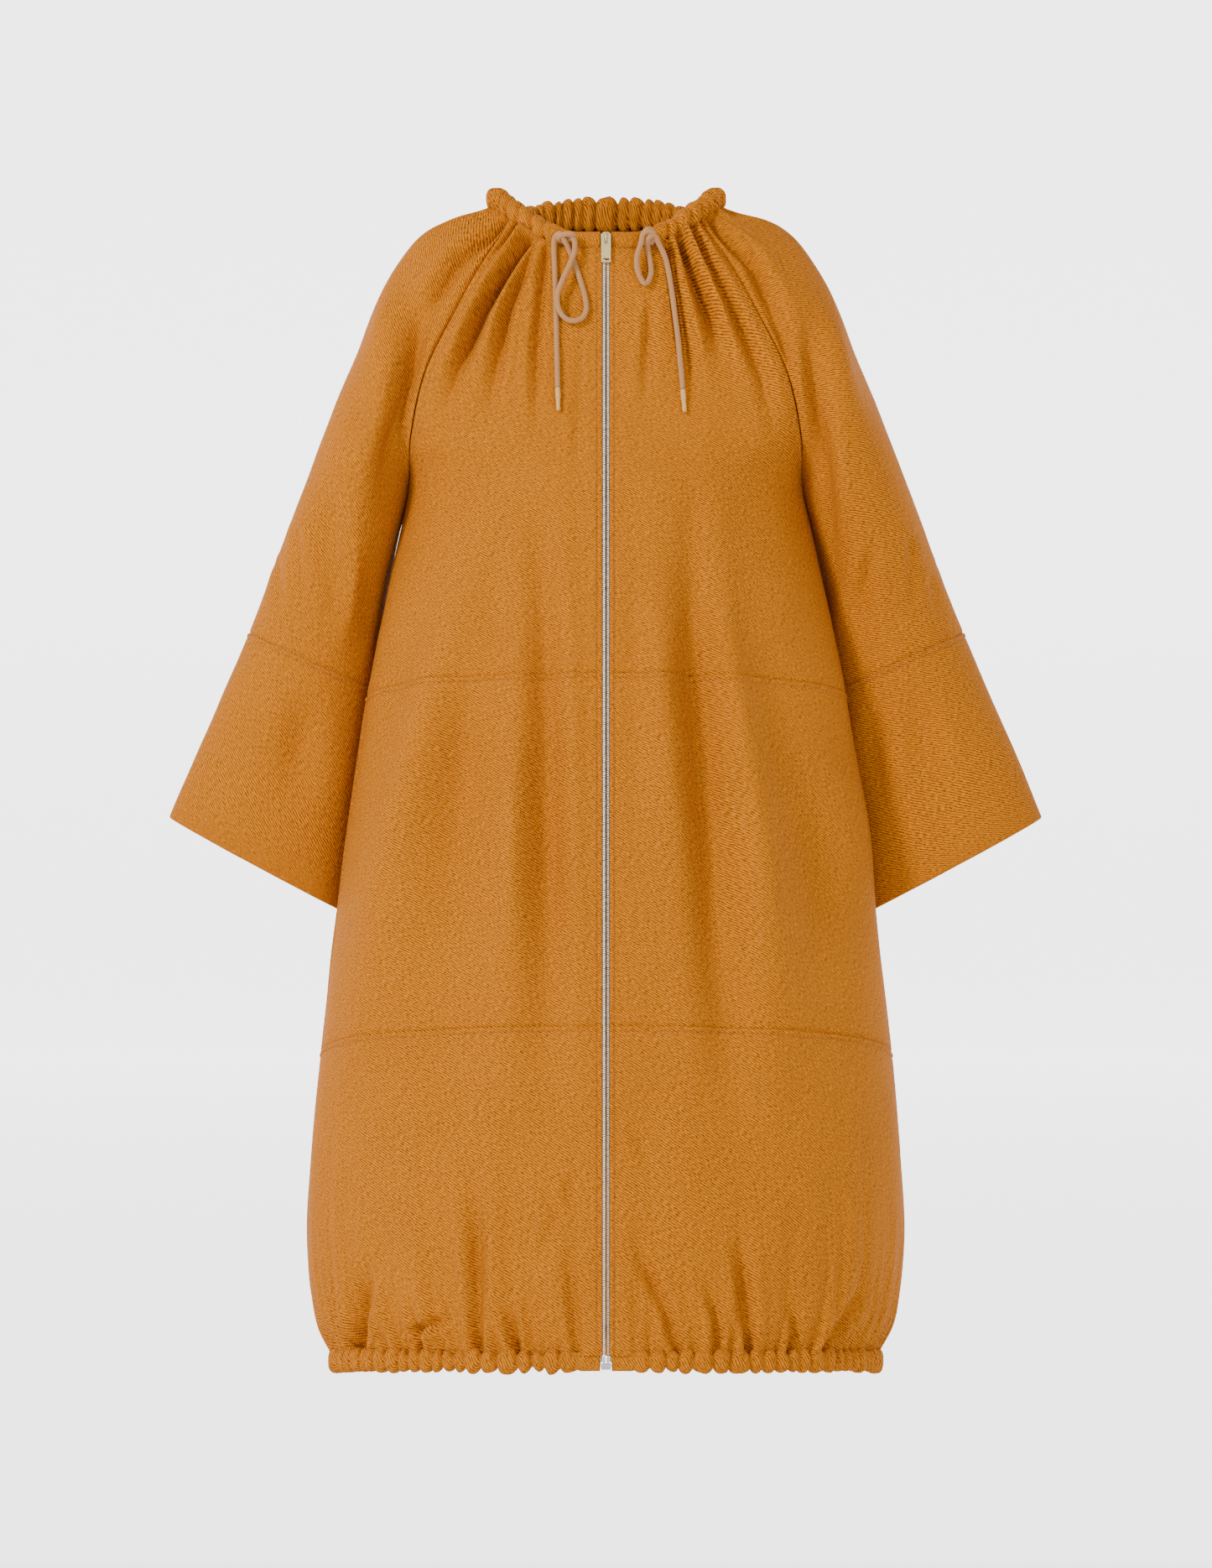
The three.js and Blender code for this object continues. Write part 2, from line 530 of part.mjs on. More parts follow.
for (const [side, sign] of [['left', 1], ['right', -1]]) {
  const bar = (down0, down1) => {
    const ends = [sign * ZIP.slotHalf, sign * ZIP.chainHalf].sort((a, b) => a - b);
    return block(ends[0], ends[1], ZIP.chainFront, chainBack, down0, down1);
  };
  named(`zip_tape_${side}`, finish(zipTape(sign), COLOURS.tape), zip);
  named(`zip_top_stop_${side}`, finish(bar(0.4, 0.4 + STOP_LENGTH), COLOURS.tooth, 0.35, 1), zip);
  named(`zip_teeth_${side}`, finish(
    bar(0.4 + STOP_LENGTH + RUN, pinsStart - RUN), COLOURS.tooth, 0.35, 1), zip);
  const pin = sign > 0 ? 'zip_box_pin' : 'zip_insertion_pin';
  named(pin, finish(bar(pinsStart, pinsStart + PIN_LENGTH), COLOURS.box, 0.35, 1), zip);
}
named('zip_retainer_box', finish(block(-BOX.halfWidth, BOX.halfWidth, BOX.front,
  BOX.front + BOX.thickness, boxStart, ZIP.length), COLOURS.box, 0.35, 1), zip);
named('slider_body', finish(sliderBody(), COLOURS.slider, 0.4, 0.8), zip);
named('slider_bridge', finish(sliderBridge(), COLOURS.slider, 0.4, 0.8), zip);
named('pull_tab', finish(pullTab(), COLOURS.slider, 0.4, 0.8), zip);

export default coat;
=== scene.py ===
import math

import bmesh
import bpy
import numpy as np
from mathutils import Matrix, Vector


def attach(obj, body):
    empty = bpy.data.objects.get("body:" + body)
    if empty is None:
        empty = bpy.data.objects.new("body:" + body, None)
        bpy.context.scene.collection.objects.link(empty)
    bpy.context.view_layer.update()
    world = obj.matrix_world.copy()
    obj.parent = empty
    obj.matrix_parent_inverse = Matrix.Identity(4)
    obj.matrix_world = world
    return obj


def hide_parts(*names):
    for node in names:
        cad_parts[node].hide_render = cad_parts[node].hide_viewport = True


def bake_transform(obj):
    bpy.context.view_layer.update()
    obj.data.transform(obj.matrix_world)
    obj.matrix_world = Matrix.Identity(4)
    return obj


# A midi coat in brushed twill. The cloth is laid over the same measured rows as the packed
# panels and then folded, gathered and topstitched. Lengths are millimetres until a mesh is
# made, and MM turns them to metres. -Y is the front and +X the wearer's left.

MM = 0.001
DEGREE = math.pi / 180

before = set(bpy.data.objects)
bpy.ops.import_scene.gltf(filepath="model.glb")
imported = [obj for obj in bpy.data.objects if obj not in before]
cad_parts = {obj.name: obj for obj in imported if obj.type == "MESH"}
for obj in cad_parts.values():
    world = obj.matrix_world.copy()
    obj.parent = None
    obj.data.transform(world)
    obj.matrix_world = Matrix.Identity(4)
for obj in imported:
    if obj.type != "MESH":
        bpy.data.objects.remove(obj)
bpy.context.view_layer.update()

# ---- The coat's measurements --------------------------------------------------------

CLOTH = 1.6
NECK_TURN = 55.6                       # ring angle of the front raglan seams at the neck
ZIP_TOP = (-80.0, -15.0)               # y and z of the zip's top end
ZIP_LEAN = 0.1015
ZIP_LENGTH = 1084.5
CLOTH_EDGE = 3.7                       # from the zip's centre to the folded front edge
TOPSTITCH = 8.3                        # from the zip's centre to its topstitching
SEAM_STITCH = 6.0                      # from a seam to its topstitching
CASING_HEIGHT, CASING_DEPTH = 16.0, 9.0
CASING_EDGE = 5.6                      # from the zip's centre to the end of either casing
HEM_HEIGHT, HEM_DEPTH = 17.0, 7.0
CORD_DIAMETER = 5.2
TIP_LENGTH = 23.0

UNDERARM, UPPER_SEAM, LOWER_SEAM, HEM = 5, 7, 10, 14
ELBOW, CUFF = 7, 9

# Side seam x, z and y, centre front z, centre back z and y, and the ring angle of the seam.
BODY = dict(
    x=(92, 122, 147, 174, 188, 194, 215, 234, 252, 266, 279.5, 288, 292, 285, 266),
    z=(2, -45, -92, -148, -208, -262, -360, -459, -575, -690, -807, -905, -990, -1055, -1100),
    y=(-44, -63, -70, -72, -53, 12, 10, 6, 3, 0, 0, 0, 0, 0, 0),
    front_z=(-31, -75, -125, -175, -220, -262, -350, -438, -548, -660, -772, -870, -960,
             -1030, -1078),
    back_z=(18, -30, -85, -145, -205, -262, -360, -459, -575, -690, -807, -905, -990,
            -1055, -1100),
    back_y=(78, 92, 103, 111, 117, 121, 130, 138, 146, 153, 160, 165, 168, 164, 155),
    turn=(55.6, 58, 62, 68, 78, 90, 90, 90, 90, 90, 90, 90, 90, 90, 90),
)
# Outer edge, inner edge, half depth, middle y and the angle from the outer edge to the seam.
SLEEVE = dict(
    ox=(111.5, 172, 208, 236, 260, 284, 318, 353, 392, 432),
    oz=(18, -2, -42, -100, -160, -224, -307, -395, -486, -578),
    ix=(92, 122, 147, 174, 188, 194, 214, 224.5, 240, 253),
    iz=(2, -45, -92, -148, -208, -262, -360, -453, -562, -674),
    depth=(78, 74, 74, 76, 77, 75, 71, 65, 58, 50),
    mid=(0, 0, 2, 4, 8, 12, 40, 55, 55, 55),
    turn=(34.4, 58, 76, 95, 128, 178.5, 180, 180, 180, 180),
)
SLEEVE_LENGTH_AT = (0, 62, 116, 184, 251, 318, 410, 505, 606, 706)
ARMHOLE_RUN = SLEEVE_LENGTH_AT[UNDERARM]    # down the sleeve from the neck to the underarm
SLEEVE_SEAM_REACH = 125                     # round the shoulder from its outer edge to the seam
HALF_HEM = 345                              # round the hem from the centre front to the side

# The free cord ends: x, z and the distance in front of the coat's face.
CORD_ROUTES = {
    "right": (
        (-41, -25, 3.4), (-38, -20, 6.5), (-33, -20, 9), (-30, -26, 10.5), (-30.5, -36, 11.5),
        (-35.5, -49, 12), (-42, -63, 11.8), (-46.3, -76, 11), (-45.6, -89, 9.6),
        (-39.5, -98.6, 8), (-30.8, -101.6, 6.4), (-22.5, -98, 5.2), (-18.8, -88.5, 4.2),
        (-21.6, -72, 3.6), (-28, -52, 3.5), (-34.6, -34, 4.6), (-39.5, -24, 9.6),
        (-44, -17.4, 11.6), (-49, -20.5, 9.6), (-50, -30, 6), (-49.4, -44, 4),
        (-48.4, -70, 3.5), (-47.8, -100, 3.4), (-47, -135, 3.4), (-46.2, -165, 3.4)),
    "left": (
        (43, -27, 3.4), (46, -19, 5.6), (41.5, -12.6, 8.6), (36, -17, 10.6), (33.4, -27, 11),
        (29.6, -40, 10), (30.6, -54, 8), (37.4, -65.4, 5.8), (43, -56, 4.4), (42.4, -43, 3.8),
        (40.2, -31, 5), (40.8, -22, 12.4), (46.6, -19.6, 13.6), (51, -27, 11),
        (56.8, -39.6, 7), (60, -53, 4.6), (62.8, -70, 3.8), (66, -94, 3.5),
        (69.4, -122, 3.4), (72, -150, 3.4), (73.4, -166.5, 3.4)),
}

# The turn of each knot: x, z, distance in front of the face, half width, half height, half
# depth and slant.
KNOTS = {"right": (-38.5, -20.5, 9.5, 7.2, 2.4, 4.6, 0.1),
         "left": (40.5, -20.5, 10.5, 5.4, 5.0, 3.4, 0.5)}

# ---- Folds --------------------------------------------------------------------------
# Each fold is its line as (x, z) points, its half width, its depth (below zero stands
# proud) and whether it starts at full depth, as it does at a gathered seam.

FRONT_FOLDS = (
    (((-66, -215), (-58, -438), (-54, -677), (-59, -960)), 17, 6.5, False),
    (((-133, -359), (-141, -478), (-150, -756)), 24, 5, False),
    (((-77, -20), (-118, -88), (-142, -144), (-160, -205)), 7.5, 9, True),
    (((-68, -20), (-94, -88), (-106, -152), (-118, -215)), 6, 5, True),
    (((-58, -30), (-66, -120), (-67, -230)), 6, 4, True),
    (((-86, -5), (-124, -50), (-148, -90)), 5, 5, True),
    (((-23, -104), (-26, -215), (-20, -280)), 6, 2, False),
    (((60, -28), (72, -110), (88, -190)), 6.5, 6, True),
    (((72, -20), (98, -92), (116, -150)), 7, 8, True),
    (((84, -8), (118, -80), (150, -150), (166, -225)), 7, 5, True),
    (((44, -60), (40, -130), (36, -200)), 6, 2.5, False),
    (((78, -200), (86, -359), (86, -438), (102, -597), (114, -756), (126, -955)), 18, 6.5, False),
    (((182, -500), (215, -640), (240, -760)), 28, 4, False),
    (((-106, -231), (-162, -478), (-202, -597), (-222, -756), (-234, -955)), 30, -6, False),
    (((-84, -478), (-88, -620), (-92, -800)), 15, -3, False),
    (((102, -319), (134, -518), (158, -717), (182, -875)), 24, -6, False),
    (((42, -247), (48, -450), (54, -700)), 18, -3, False),
    (((-122, -1088), (-123, -1000), (-127, -890)), 8, 5.5, True),
    (((-27, -1078), (-30, -1030), (-34, -975)), 7, 3.2, True),
    (((-66, -915), (-46, -950), (-60, -985), (-80, -1015)), 7, 1.8, False),
    (((-82, -1086), (-92, -1050), (-104, -1025)), 5.5, 5, True),
    (((-196, -1072), (-170, -1058), (-140, -1046)), 5, 4, False),
    (((-240, -1095), (-236, -1050), (-228, -985)), 9, 6, True),
    (((70, -1084), (54, -1030), (18, -960)), 6, 4, True),
    (((136, -1088), (133, -1030), (126, -960)), 7, 6, True),
    (((108, -1086), (103, -1040), (92, -1005)), 5, 4, True),
    (((205, -1090), (232, -1052), (256, -1018)), 6, 5, True),
    (((176, -1088), (180, -1060), (176, -1030)), 5, 4, True),
    (((-176, -1090), (-180, -1060), (-190, -1030)), 5, 4, True),
    (((10, -860), (30, -880), (46, -915)), 6, 1.6, False),
    (((-20, -900), (-36, -925), (-30, -960)), 5, 2, False),
)
BACK_FOLDS = (
    (((0, 12), (4, -120), (-6, -330)), 8, 5, True),
    (((-52, 10), (-78, -90), (-98, -230)), 8, 6, True),
    (((46, 10), (66, -100), (92, -260)), 8, 6, True),
    (((-84, 6), (-128, -80), (-156, -190)), 7, 6, True),
    (((84, 6), (124, -70), (154, -170)), 7, 6, True),
    (((-40, -280), (-52, -520), (-66, -820)), 20, 6, False),
    (((58, -320), (78, -560), (88, -900)), 20, 6, False),
    (((-150, -430), (-178, -700), (-196, -960)), 24, 5, False),
    (((160, -470), (186, -720), (206, -940)), 24, 5, False),
    (((8, -420), (12, -640), (4, -900)), 24, -5, False),
    (((-110, -360), (-128, -600), (-140, -860)), 22, -5, False),
    (((122, -380), (140, -640), (150, -880)), 22, -5, False),
    (((-30, -1095), (-34, -1040), (-42, -950)), 7, 6, True),
    (((40, -1095), (46, -1030), (60, -960)), 7, 5, True),
    (((-120, -1095), (-124, -1040), (-132, -980)), 7, 6, True),
    (((126, -1095), (122, -1040), (110, -970)), 7, 6, True),
    (((-200, -1090), (-210, -1040), (-220, -990)), 8, 6, True),
    (((206, -1090), (214, -1040), (220, -1000)), 8, 6, True),
)
# The sleeves' folds, on their front face as seen from the front.
SLEEVE_FOLDS = {
    -1: (
        (((-98, -2), (-140, -36), (-168, -84), (-180, -140)), 9, 6, True),
        (((-180, -60), (-184, -120), (-196, -190), (-222, -300)), 12, 8, False),
        (((-206, -50), (-214, -110), (-236, -190)), 16, -4, False),
        (((-300, -300), (-296, -350), (-300, -385)), 7, 1.4, True),
        (((-322, -330), (-318, -360), (-322, -385)), 6, 1.2, True),
        (((-262, -240), (-270, -320), (-276, -400)), 16, 3, False),
        (((-240, -300), (-250, -380), (-262, -430)), 9, -2.5, False),
        (((-290, -440), (-300, -520), (-318, -600)), 20, 2.5, False),
    ),
    1: (
        (((100, 0), (140, -40), (160, -84), (172, -140)), 9, 6, True),
        (((166, -80), (170, -150), (176, -215), (188, -290)), 10, 8, False),
        (((196, -90), (200, -170), (214, -290), (232, -390)), 11, 5.5, False),
        (((214, -70), (226, -150), (248, -240)), 15, -4, False),
        (((262, -300), (250, -360), (244, -420)), 9, 3.2, False),
        (((296, -310), (300, -350), (300, -385)), 7, 1.3, True),
        (((318, -345), (324, -370), (326, -385)), 6, 1.1, True),
        (((300, -440), (312, -520), (330, -590)), 18, 2.5, False),
        (((262, -440), (266, -520), (280, -600)), 14, 2, False),
    ),
}

# ---- Small helpers ------------------------------------------------------------------


def smooth(t):
    """0 below 0, 1 above 1, and an even turn between."""
    t = np.clip(t, 0, 1)
    return t * t * (3 - 2 * t)


def bell(distance, width):
    return np.exp(-(distance / width) ** 2)


def between(rows, field, at):
    """A smooth value between a table's rows, by Catmull-Rom interpolation."""
    values = np.array(rows[field], float)
    last = len(values) - 1
    at = np.asarray(at, float)
    i = np.clip(np.floor(at), 0, last - 1).astype(int)
    t = at - i
    a, b, c, d = (values[np.clip(i + k, 0, last)] for k in (-1, 0, 1, 2))
    return b + 0.5 * t * (c - a + t * (2 * a - 5 * b + 4 * c - d + t * (3 * (b - c) + d - a)))


def stack(*parts):
    return np.stack(np.broadcast_arrays(*parts), axis=-1)


def spaced(start, end, step, fine_start=(), fine_end=()):
    """Places from start to end, with extra ones at given distances from either end."""
    low = start + np.array(fine_start) if len(fine_start) else np.array([start])
    high = end - np.array(fine_end)[::-1] if len(fine_end) else np.array([end])
    count = max(2, int(round((high[0] - low[-1]) / step)) + 1)
    return np.concatenate([low, np.linspace(low[-1], high[0], count)[1:-1], high])


ROW_TABLE = np.linspace(-0.4, HEM + 0.2, 1500)
DEPTH_TABLE = -between(BODY, "z", ROW_TABLE)


def row_at(depth):
    """The body row whose side seam lies this far below the shoulders."""
    return np.interp(depth, DEPTH_TABLE, ROW_TABLE)


def sleeve_row_at(run):
    return np.interp(run, SLEEVE_LENGTH_AT, range(10)) + np.minimum(run, 0) / SLEEVE_LENGTH_AT[1]


# ---- The plain surface --------------------------------------------------------------


def front_plane_y(z):
    return ZIP_TOP[0] + math.tan(ZIP_LEAN) * (z - ZIP_TOP[1])


def sleeve_plain(row, turn, sign):
    seam = between(SLEEVE, "turn", row) * DEGREE
    angle = seam * turn
    reach = (1 - np.cos(angle)) / (1 - np.cos(seam))
    ox, oz = between(SLEEVE, "ox", row), between(SLEEVE, "oz", row)
    ix, iz = between(SLEEVE, "ix", row), between(SLEEVE, "iz", row)
    y = between(SLEEVE, "mid", row) + between(SLEEVE, "depth", row) * np.sin(angle)
    return stack(sign * (ox + (ix - ox) * reach), y, oz + (iz - oz) * reach)


def body_edge(row, side):
    shoulder = sleeve_plain(np.minimum(row, UNDERARM), side, 1)
    seam = stack(*(between(BODY, axis, row) for axis in "xyz"))
    settle = smooth((row - UNDERARM) * 3)[..., None]
    start = np.array([BODY["x"][UNDERARM], BODY["y"][UNDERARM], BODY["z"][UNDERARM]])
    below = shoulder + seam - start
    edge = below + (seam - below) * settle
    return np.where((row <= UNDERARM)[..., None], shoulder, edge)


def body_plain(row, across, side, sign):
    row, across = np.broadcast_arrays(np.asarray(row, float), np.asarray(across, float))
    edge = body_edge(row, side)
    turn = between(BODY, "turn", row) * DEGREE
    centre_z = between(BODY, "front_z" if side < 0 else "back_z", row)
    centre_y = front_plane_y(centre_z) if side < 0 else between(BODY, "back_y", row)
    x = edge[..., 0] * np.sin(across * turn) / np.sin(turn)
    share = (1 - np.cos(across * turn)) / (1 - np.cos(turn))
    lift_top = smooth(across * 0.93 - 0.2) / float(smooth(0.73))
    lift = lift_top + (across ** 2 - lift_top) * np.minimum(row / 3, 1)
    lift = np.where(across > 1, across ** 2, lift)
    y = centre_y + (edge[..., 1] - centre_y) * share
    return stack(sign * x, y, centre_z + (edge[..., 2] - centre_z) * lift)


def across_at(row, x, side=-1):
    row = np.asarray(row, float)
    turn = between(BODY, "turn", row) * DEGREE
    return np.arcsin(x * np.sin(turn) / body_edge(row, side)[..., 0]) / turn


def normals(plain, u, v, du, dv, outward):
    """Unit normals of a surface by small differences, turned to the given sense."""
    along_u = plain(u + du, v) - plain(u - du, v)
    along_v = plain(u, v + dv) - plain(u, v - dv)
    n = np.cross(along_u, along_v) * outward
    return n / np.maximum(np.linalg.norm(n, axis=-1, keepdims=True), 1e-9)


# ---- The shape of folded and gathered cloth -----------------------------------------

SOFT_FOLD = 12.0                        # folds of less half width than this have a sharp crease
FOLD_DEPTH = 2.4                        # how much deeper than listed its soft folds are
CREASE_DEPTH = 2.3                     # the same for its creases
BODY_CALM, SLEEVE_CALM = 16.0, 10.0     # folds die out this near a raglan seam
CORD_BED = 0.3                          # most that the cloth stands proud beneath a cord
CORD_BED_WIDTH = 14.0                   # how far to either side of the cord that holds
FLAT_FRONT, FLAT_FRONT_EASE = 12.0, 26.0    # the cloth lies flat this near the zip's centre
LAP_STITCH = 11.5                       # from a raglan seam to its topstitching on the body


def fold_field(x, z, folds):
    """Height of the cloth at (x, z) from a list of folds."""
    height = np.zeros(np.shape(x))
    for points, width, depth, starts_full in folds:
        points = np.array(points, float)
        lengths = np.linalg.norm(np.diff(points, axis=0), axis=1)
        near, along = np.full(np.shape(x), 1e9), np.zeros(np.shape(x))
        for k, (a, b) in enumerate(zip(points[:-1], points[1:])):
            d = b - a
            t = np.clip(((x - a[0]) * d[0] + (z - a[1]) * d[1]) / (d @ d), 0, 1)
            gap = np.hypot(x - a[0] - t * d[0], z - a[1] - t * d[1])
            closer = gap < near
            near = np.where(closer, gap, near)
            along = np.where(closer, (lengths[:k].sum() + t * lengths[k]) / lengths.sum(), along)
        wide = width * (0.65 + 0.6 * along)
        ends = smooth((1 - along) / 0.55) * (1 if starts_full else smooth(along / 0.4))
        crease, deeper = bell(near, wide), FOLD_DEPTH
        if width < SOFT_FOLD:
            crease = 0.45 * crease + 0.55 * np.exp(-near / (0.7 * wide))
            deeper = CREASE_DEPTH
        shoulders = 0.34 * bell(near - 1.9 * wide, wide)
        height += depth * deeper * ends * (shoulders - crease)
    return height


def pleat_list(seed, start, end, pitch, spread):
    """Pleats along a gathered seam: place in mm, depth and reach, none at the same pitch."""
    random = np.random.default_rng(seed)
    place, pleats = start, []
    while place < end:
        pleats.append((place, random.uniform(0.7, 1.0), random.uniform(*spread)))
        place += pitch * random.uniform(0.7, 1.35)
    return pleats


NECK_MM_PER_DEGREE = 1.67
NECK_PLEATS = {
    sign: pleat_list(seed, 54.0, 298.0, 11.5, (16, 80)) for sign, seed in ((-1, 11), (1, 23))}
HEM_PLEATS = {
    (side, sign): pleat_list(seed, 22.0, 340.0, 13.5, (18, 120))
    for (side, sign), seed in zip(((-1, -1), (-1, 1), (1, -1), (1, 1)), (5, 8, 13, 21))}


# How deep a pleat is at its seam and its half width there.
NECK_GATHER, SHOULDER_GATHER, HEM_GATHER = (9.0, 3.4), (8.0, 3.2), (10.5, 5.2)


def gathers(place, distance, pleats, depth, width):
    """Height of cloth that runs down from a gathered seam, fading with the distance."""
    height = np.zeros(np.broadcast(place, distance).shape)
    for at, strength, reach in pleats:
        below = np.maximum(distance, 0) / reach
        gap = np.abs(place - at) / (width * (1 + 0.6 * below))
        profile = 0.6 * np.exp(-1.4 * gap) + 0.4 * np.exp(-gap ** 2)
        height -= depth * strength * profile * np.exp(-below ** 1.3)
    return height + 0.25 * depth * np.exp(-np.maximum(distance, 0) / 30) * (len(pleats) > 0)


def undulation(x, z, seed, height):
    """Slow unevenness of hung cloth, from a few crossing waves."""
    random = np.random.default_rng(seed)
    total = np.zeros(np.shape(x))
    for length in (34, 47, 62, 81, 120, 150):
        angle = random.uniform(-0.9, 0.9)
        phase = random.uniform(0, 2 * math.pi)
        wave = (x * math.cos(angle) + z * math.sin(angle) * 0.45) / length
        total += np.sin(2 * math.pi * wave + phase) * (length / 120) ** 0.8
    return total * height / 2.4


def neck_place(ring_degrees):
    return ring_degrees * NECK_MM_PER_DEGREE


def seam_roll(distance, under):
    """A folded seam edge: it turns in at the seam, stands proud over its turnings and dips
    at its topstitching. "under" cloth runs on past the seam beneath its neighbour."""
    roll = -1.7 * bell(distance, 1.2)
    if under:
        return roll - 2.3 * smooth(-distance / 1.6)
    proud = 0.75 * smooth(distance / 1.6) * smooth((SEAM_STITCH + 0.9 - distance) / 1.2)
    return roll + proud - 1.1 * bell(distance - SEAM_STITCH, 0.9)


def body_height(row, across, side, sign, plain):
    """How far the body's cloth stands from its plain surface."""
    x, z = plain[..., 0], plain[..., 2]
    depth = -between(BODY, "z", row)
    folds = FRONT_FOLDS if side < 0 else BACK_FOLDS
    height = fold_field(x, z, folds)
    height += undulation(x, z, 3 if side < 0 else 4, 0.9) * smooth((np.abs(x) - 12) / 60)
    seam_gap = (1 - across) * body_edge(row, side)[..., 0]
    height *= 1 - (1 - smooth(seam_gap / BODY_CALM)) * smooth((UNDERARM + 0.6 - row) * 2)
    ring = across * NECK_TURN if side < 0 else 180 - across * NECK_TURN
    below_neck = depth + between(BODY, "z", np.zeros(()))
    height += gathers(neck_place(ring), below_neck, NECK_PLEATS[sign], *NECK_GATHER)
    hem_place = across * HALF_HEM
    above_hem = -BODY["z"][HEM] - depth
    height += gathers(hem_place, above_hem, HEM_PLEATS[side, sign], *HEM_GATHER)
    height += 2.2 * bell(above_hem - 22, 18) * smooth(across * 6 - 0.4)
    if side < 0:
        proud = np.maximum(height - CORD_BED, 0)
        height = height - proud * np.minimum(1.3 * bell(cord_gap(x, z), CORD_BED_WIDTH), 1)
    return height


def cord_gap(x, z):
    """Distance in mm from a place on the front to the nearest free cord."""
    nearest = np.full(np.shape(x), 1e9)
    for route in CORD_ROUTES.values():
        for a, b in zip(route[:-1], route[1:]):
            dx, dz = b[0] - a[0], b[1] - a[1]
            t = np.clip(((x - a[0]) * dx + (z - a[1]) * dz) / (dx * dx + dz * dz), 0, 1)
            nearest = np.minimum(nearest, np.hypot(x - a[0] - t * dx, z - a[1] - t * dz))
    return nearest


# ---- Making meshes ------------------------------------------------------------------

scene = bpy.context.scene


def link(name, mesh, smooth_faces=True):
    piece = bpy.data.objects.new(name, mesh)
    scene.collection.objects.link(piece)
    if smooth_faces:
        for polygon in mesh.polygons:
            polygon.use_smooth = True
    return piece


def from_bmesh(name, bm, smooth_faces=True):
    mesh = bpy.data.meshes.new(name)
    bm.to_mesh(mesh)
    bm.free()
    return link(name, mesh, smooth_faces)


def grid_piece(name, points, uvs, merge=False):
    """A sheet whose grid points and cloth coordinates are given as [row][column] arrays."""
    rows, columns = points.shape[:2]
    bm = bmesh.new()
    bmesh.ops.create_grid(bm, x_segments=columns - 1, y_segments=rows - 1, size=0.5)
    mesh = bpy.data.meshes.new(name)
    bm.to_mesh(mesh)
    bm.free()
    flat = np.zeros(len(mesh.vertices) * 3)
    mesh.vertices.foreach_get("co", flat)
    flat = flat.reshape(-1, 3)
    column = np.rint((flat[:, 0] + 0.5) * (columns - 1)).astype(int)
    row = np.rint((flat[:, 1] + 0.5) * (rows - 1)).astype(int)
    mesh.vertices.foreach_set("co", (points[row, column] * MM).ravel())
    corner = np.zeros(len(mesh.loops), int)
    mesh.loops.foreach_get("vertex_index", corner)
    layer = mesh.uv_layers.new(name="cloth")
    layer.data.foreach_set("uv", (uvs[row[corner], column[corner]] * MM).ravel())
    if merge:
        bm = bmesh.new()
        bm.from_mesh(mesh)
        bmesh.ops.remove_doubles(bm, verts=bm.verts, dist=2e-5)
        bm.to_mesh(mesh)
        bm.free()
    mesh.update()
    return link(name, mesh)


def face_outwards(piece, outward_normals, points):
    """Turns the faces over if they look against the wanted normals."""
    mesh = piece.data
    mesh.update()
    middle = mesh.polygons[len(mesh.polygons) // 2]
    gap = np.linalg.norm(points * MM - np.array(middle.center), axis=-1)
    wanted = outward_normals[np.unravel_index(gap.argmin(), gap.shape)]
    if Vector(wanted).dot(middle.normal) < 0:
        mesh.flip_normals()


def cloth_lengths(points, across=0):
    """Distances along each grid row, measured from one of its columns."""
    gaps = np.linalg.norm(np.diff(points, axis=1), axis=-1)
    run = np.concatenate([np.zeros((len(points), 1)), np.cumsum(gaps, axis=1)], axis=1)
    return run - run[:, across:across + 1]


def thicken(piece, thickness=CLOTH):
    shell = piece.modifiers.new("thickness", "SOLIDIFY")
    shell.thickness = thickness * MM
    shell.offset = -1
    shell.use_even_offset = False
    return piece


# ---- Materials ----------------------------------------------------------------------


def linear(hex_colour):
    """An sRGB hex colour as linear RGBA."""
    parts = [int(hex_colour[i:i + 2], 16) / 255 for i in (1, 3, 5)]
    return tuple(c / 12.92 if c <= 0.04045 else ((c + 0.055) / 1.055) ** 2.4
                 for c in parts) + (1.0,)


def node(tree, kind, settings=None, links=None):
    """Adds a node, sets its properties and sockets, and links its inputs."""
    made = tree.nodes.new(kind)
    for name, value in (settings or {}).items():
        if isinstance(name, int) or name in made.inputs:
            made.inputs[name].default_value = value
        else:
            setattr(made, name, value)
    for name, source in (links or {}).items():
        tree.links.new(source, made.inputs[name])
    return made


def new_material(name):
    material = bpy.data.materials.new(name)
    material.use_nodes = True
    tree = material.node_tree
    tree.nodes.clear()
    return material, tree


def output(tree, shader):
    node(tree, "ShaderNodeOutputMaterial", links={"Surface": shader.outputs[0]})


def ramp(tree, factor, stops):
    made = node(tree, "ShaderNodeValToRGB", links={0: factor})
    elements = made.color_ramp.elements
    while len(elements) < len(stops):
        elements.new(0.5)
    for element, (position, colour) in zip(elements, stops):
        element.position = position
        element.color = linear(colour)
    return made.outputs["Color"]


def maths(tree, operation, a, b=None):
    made = tree.nodes.new("ShaderNodeMath")
    made.operation = operation
    for socket, value in zip(made.inputs, (a, b)):
        if value is None:
            continue
        if isinstance(value, (int, float)):
            socket.default_value = value
        else:
            tree.links.new(value, socket)
    return made.outputs[0]


TWILL_PITCH = 2.1      # mm between two wales, as the cloth shows them
TWILL_ANGLE = 31       # degrees that the wales fall to the right
WEFT_PITCH = 1.5       # mm between the crossings that break a wale into grains


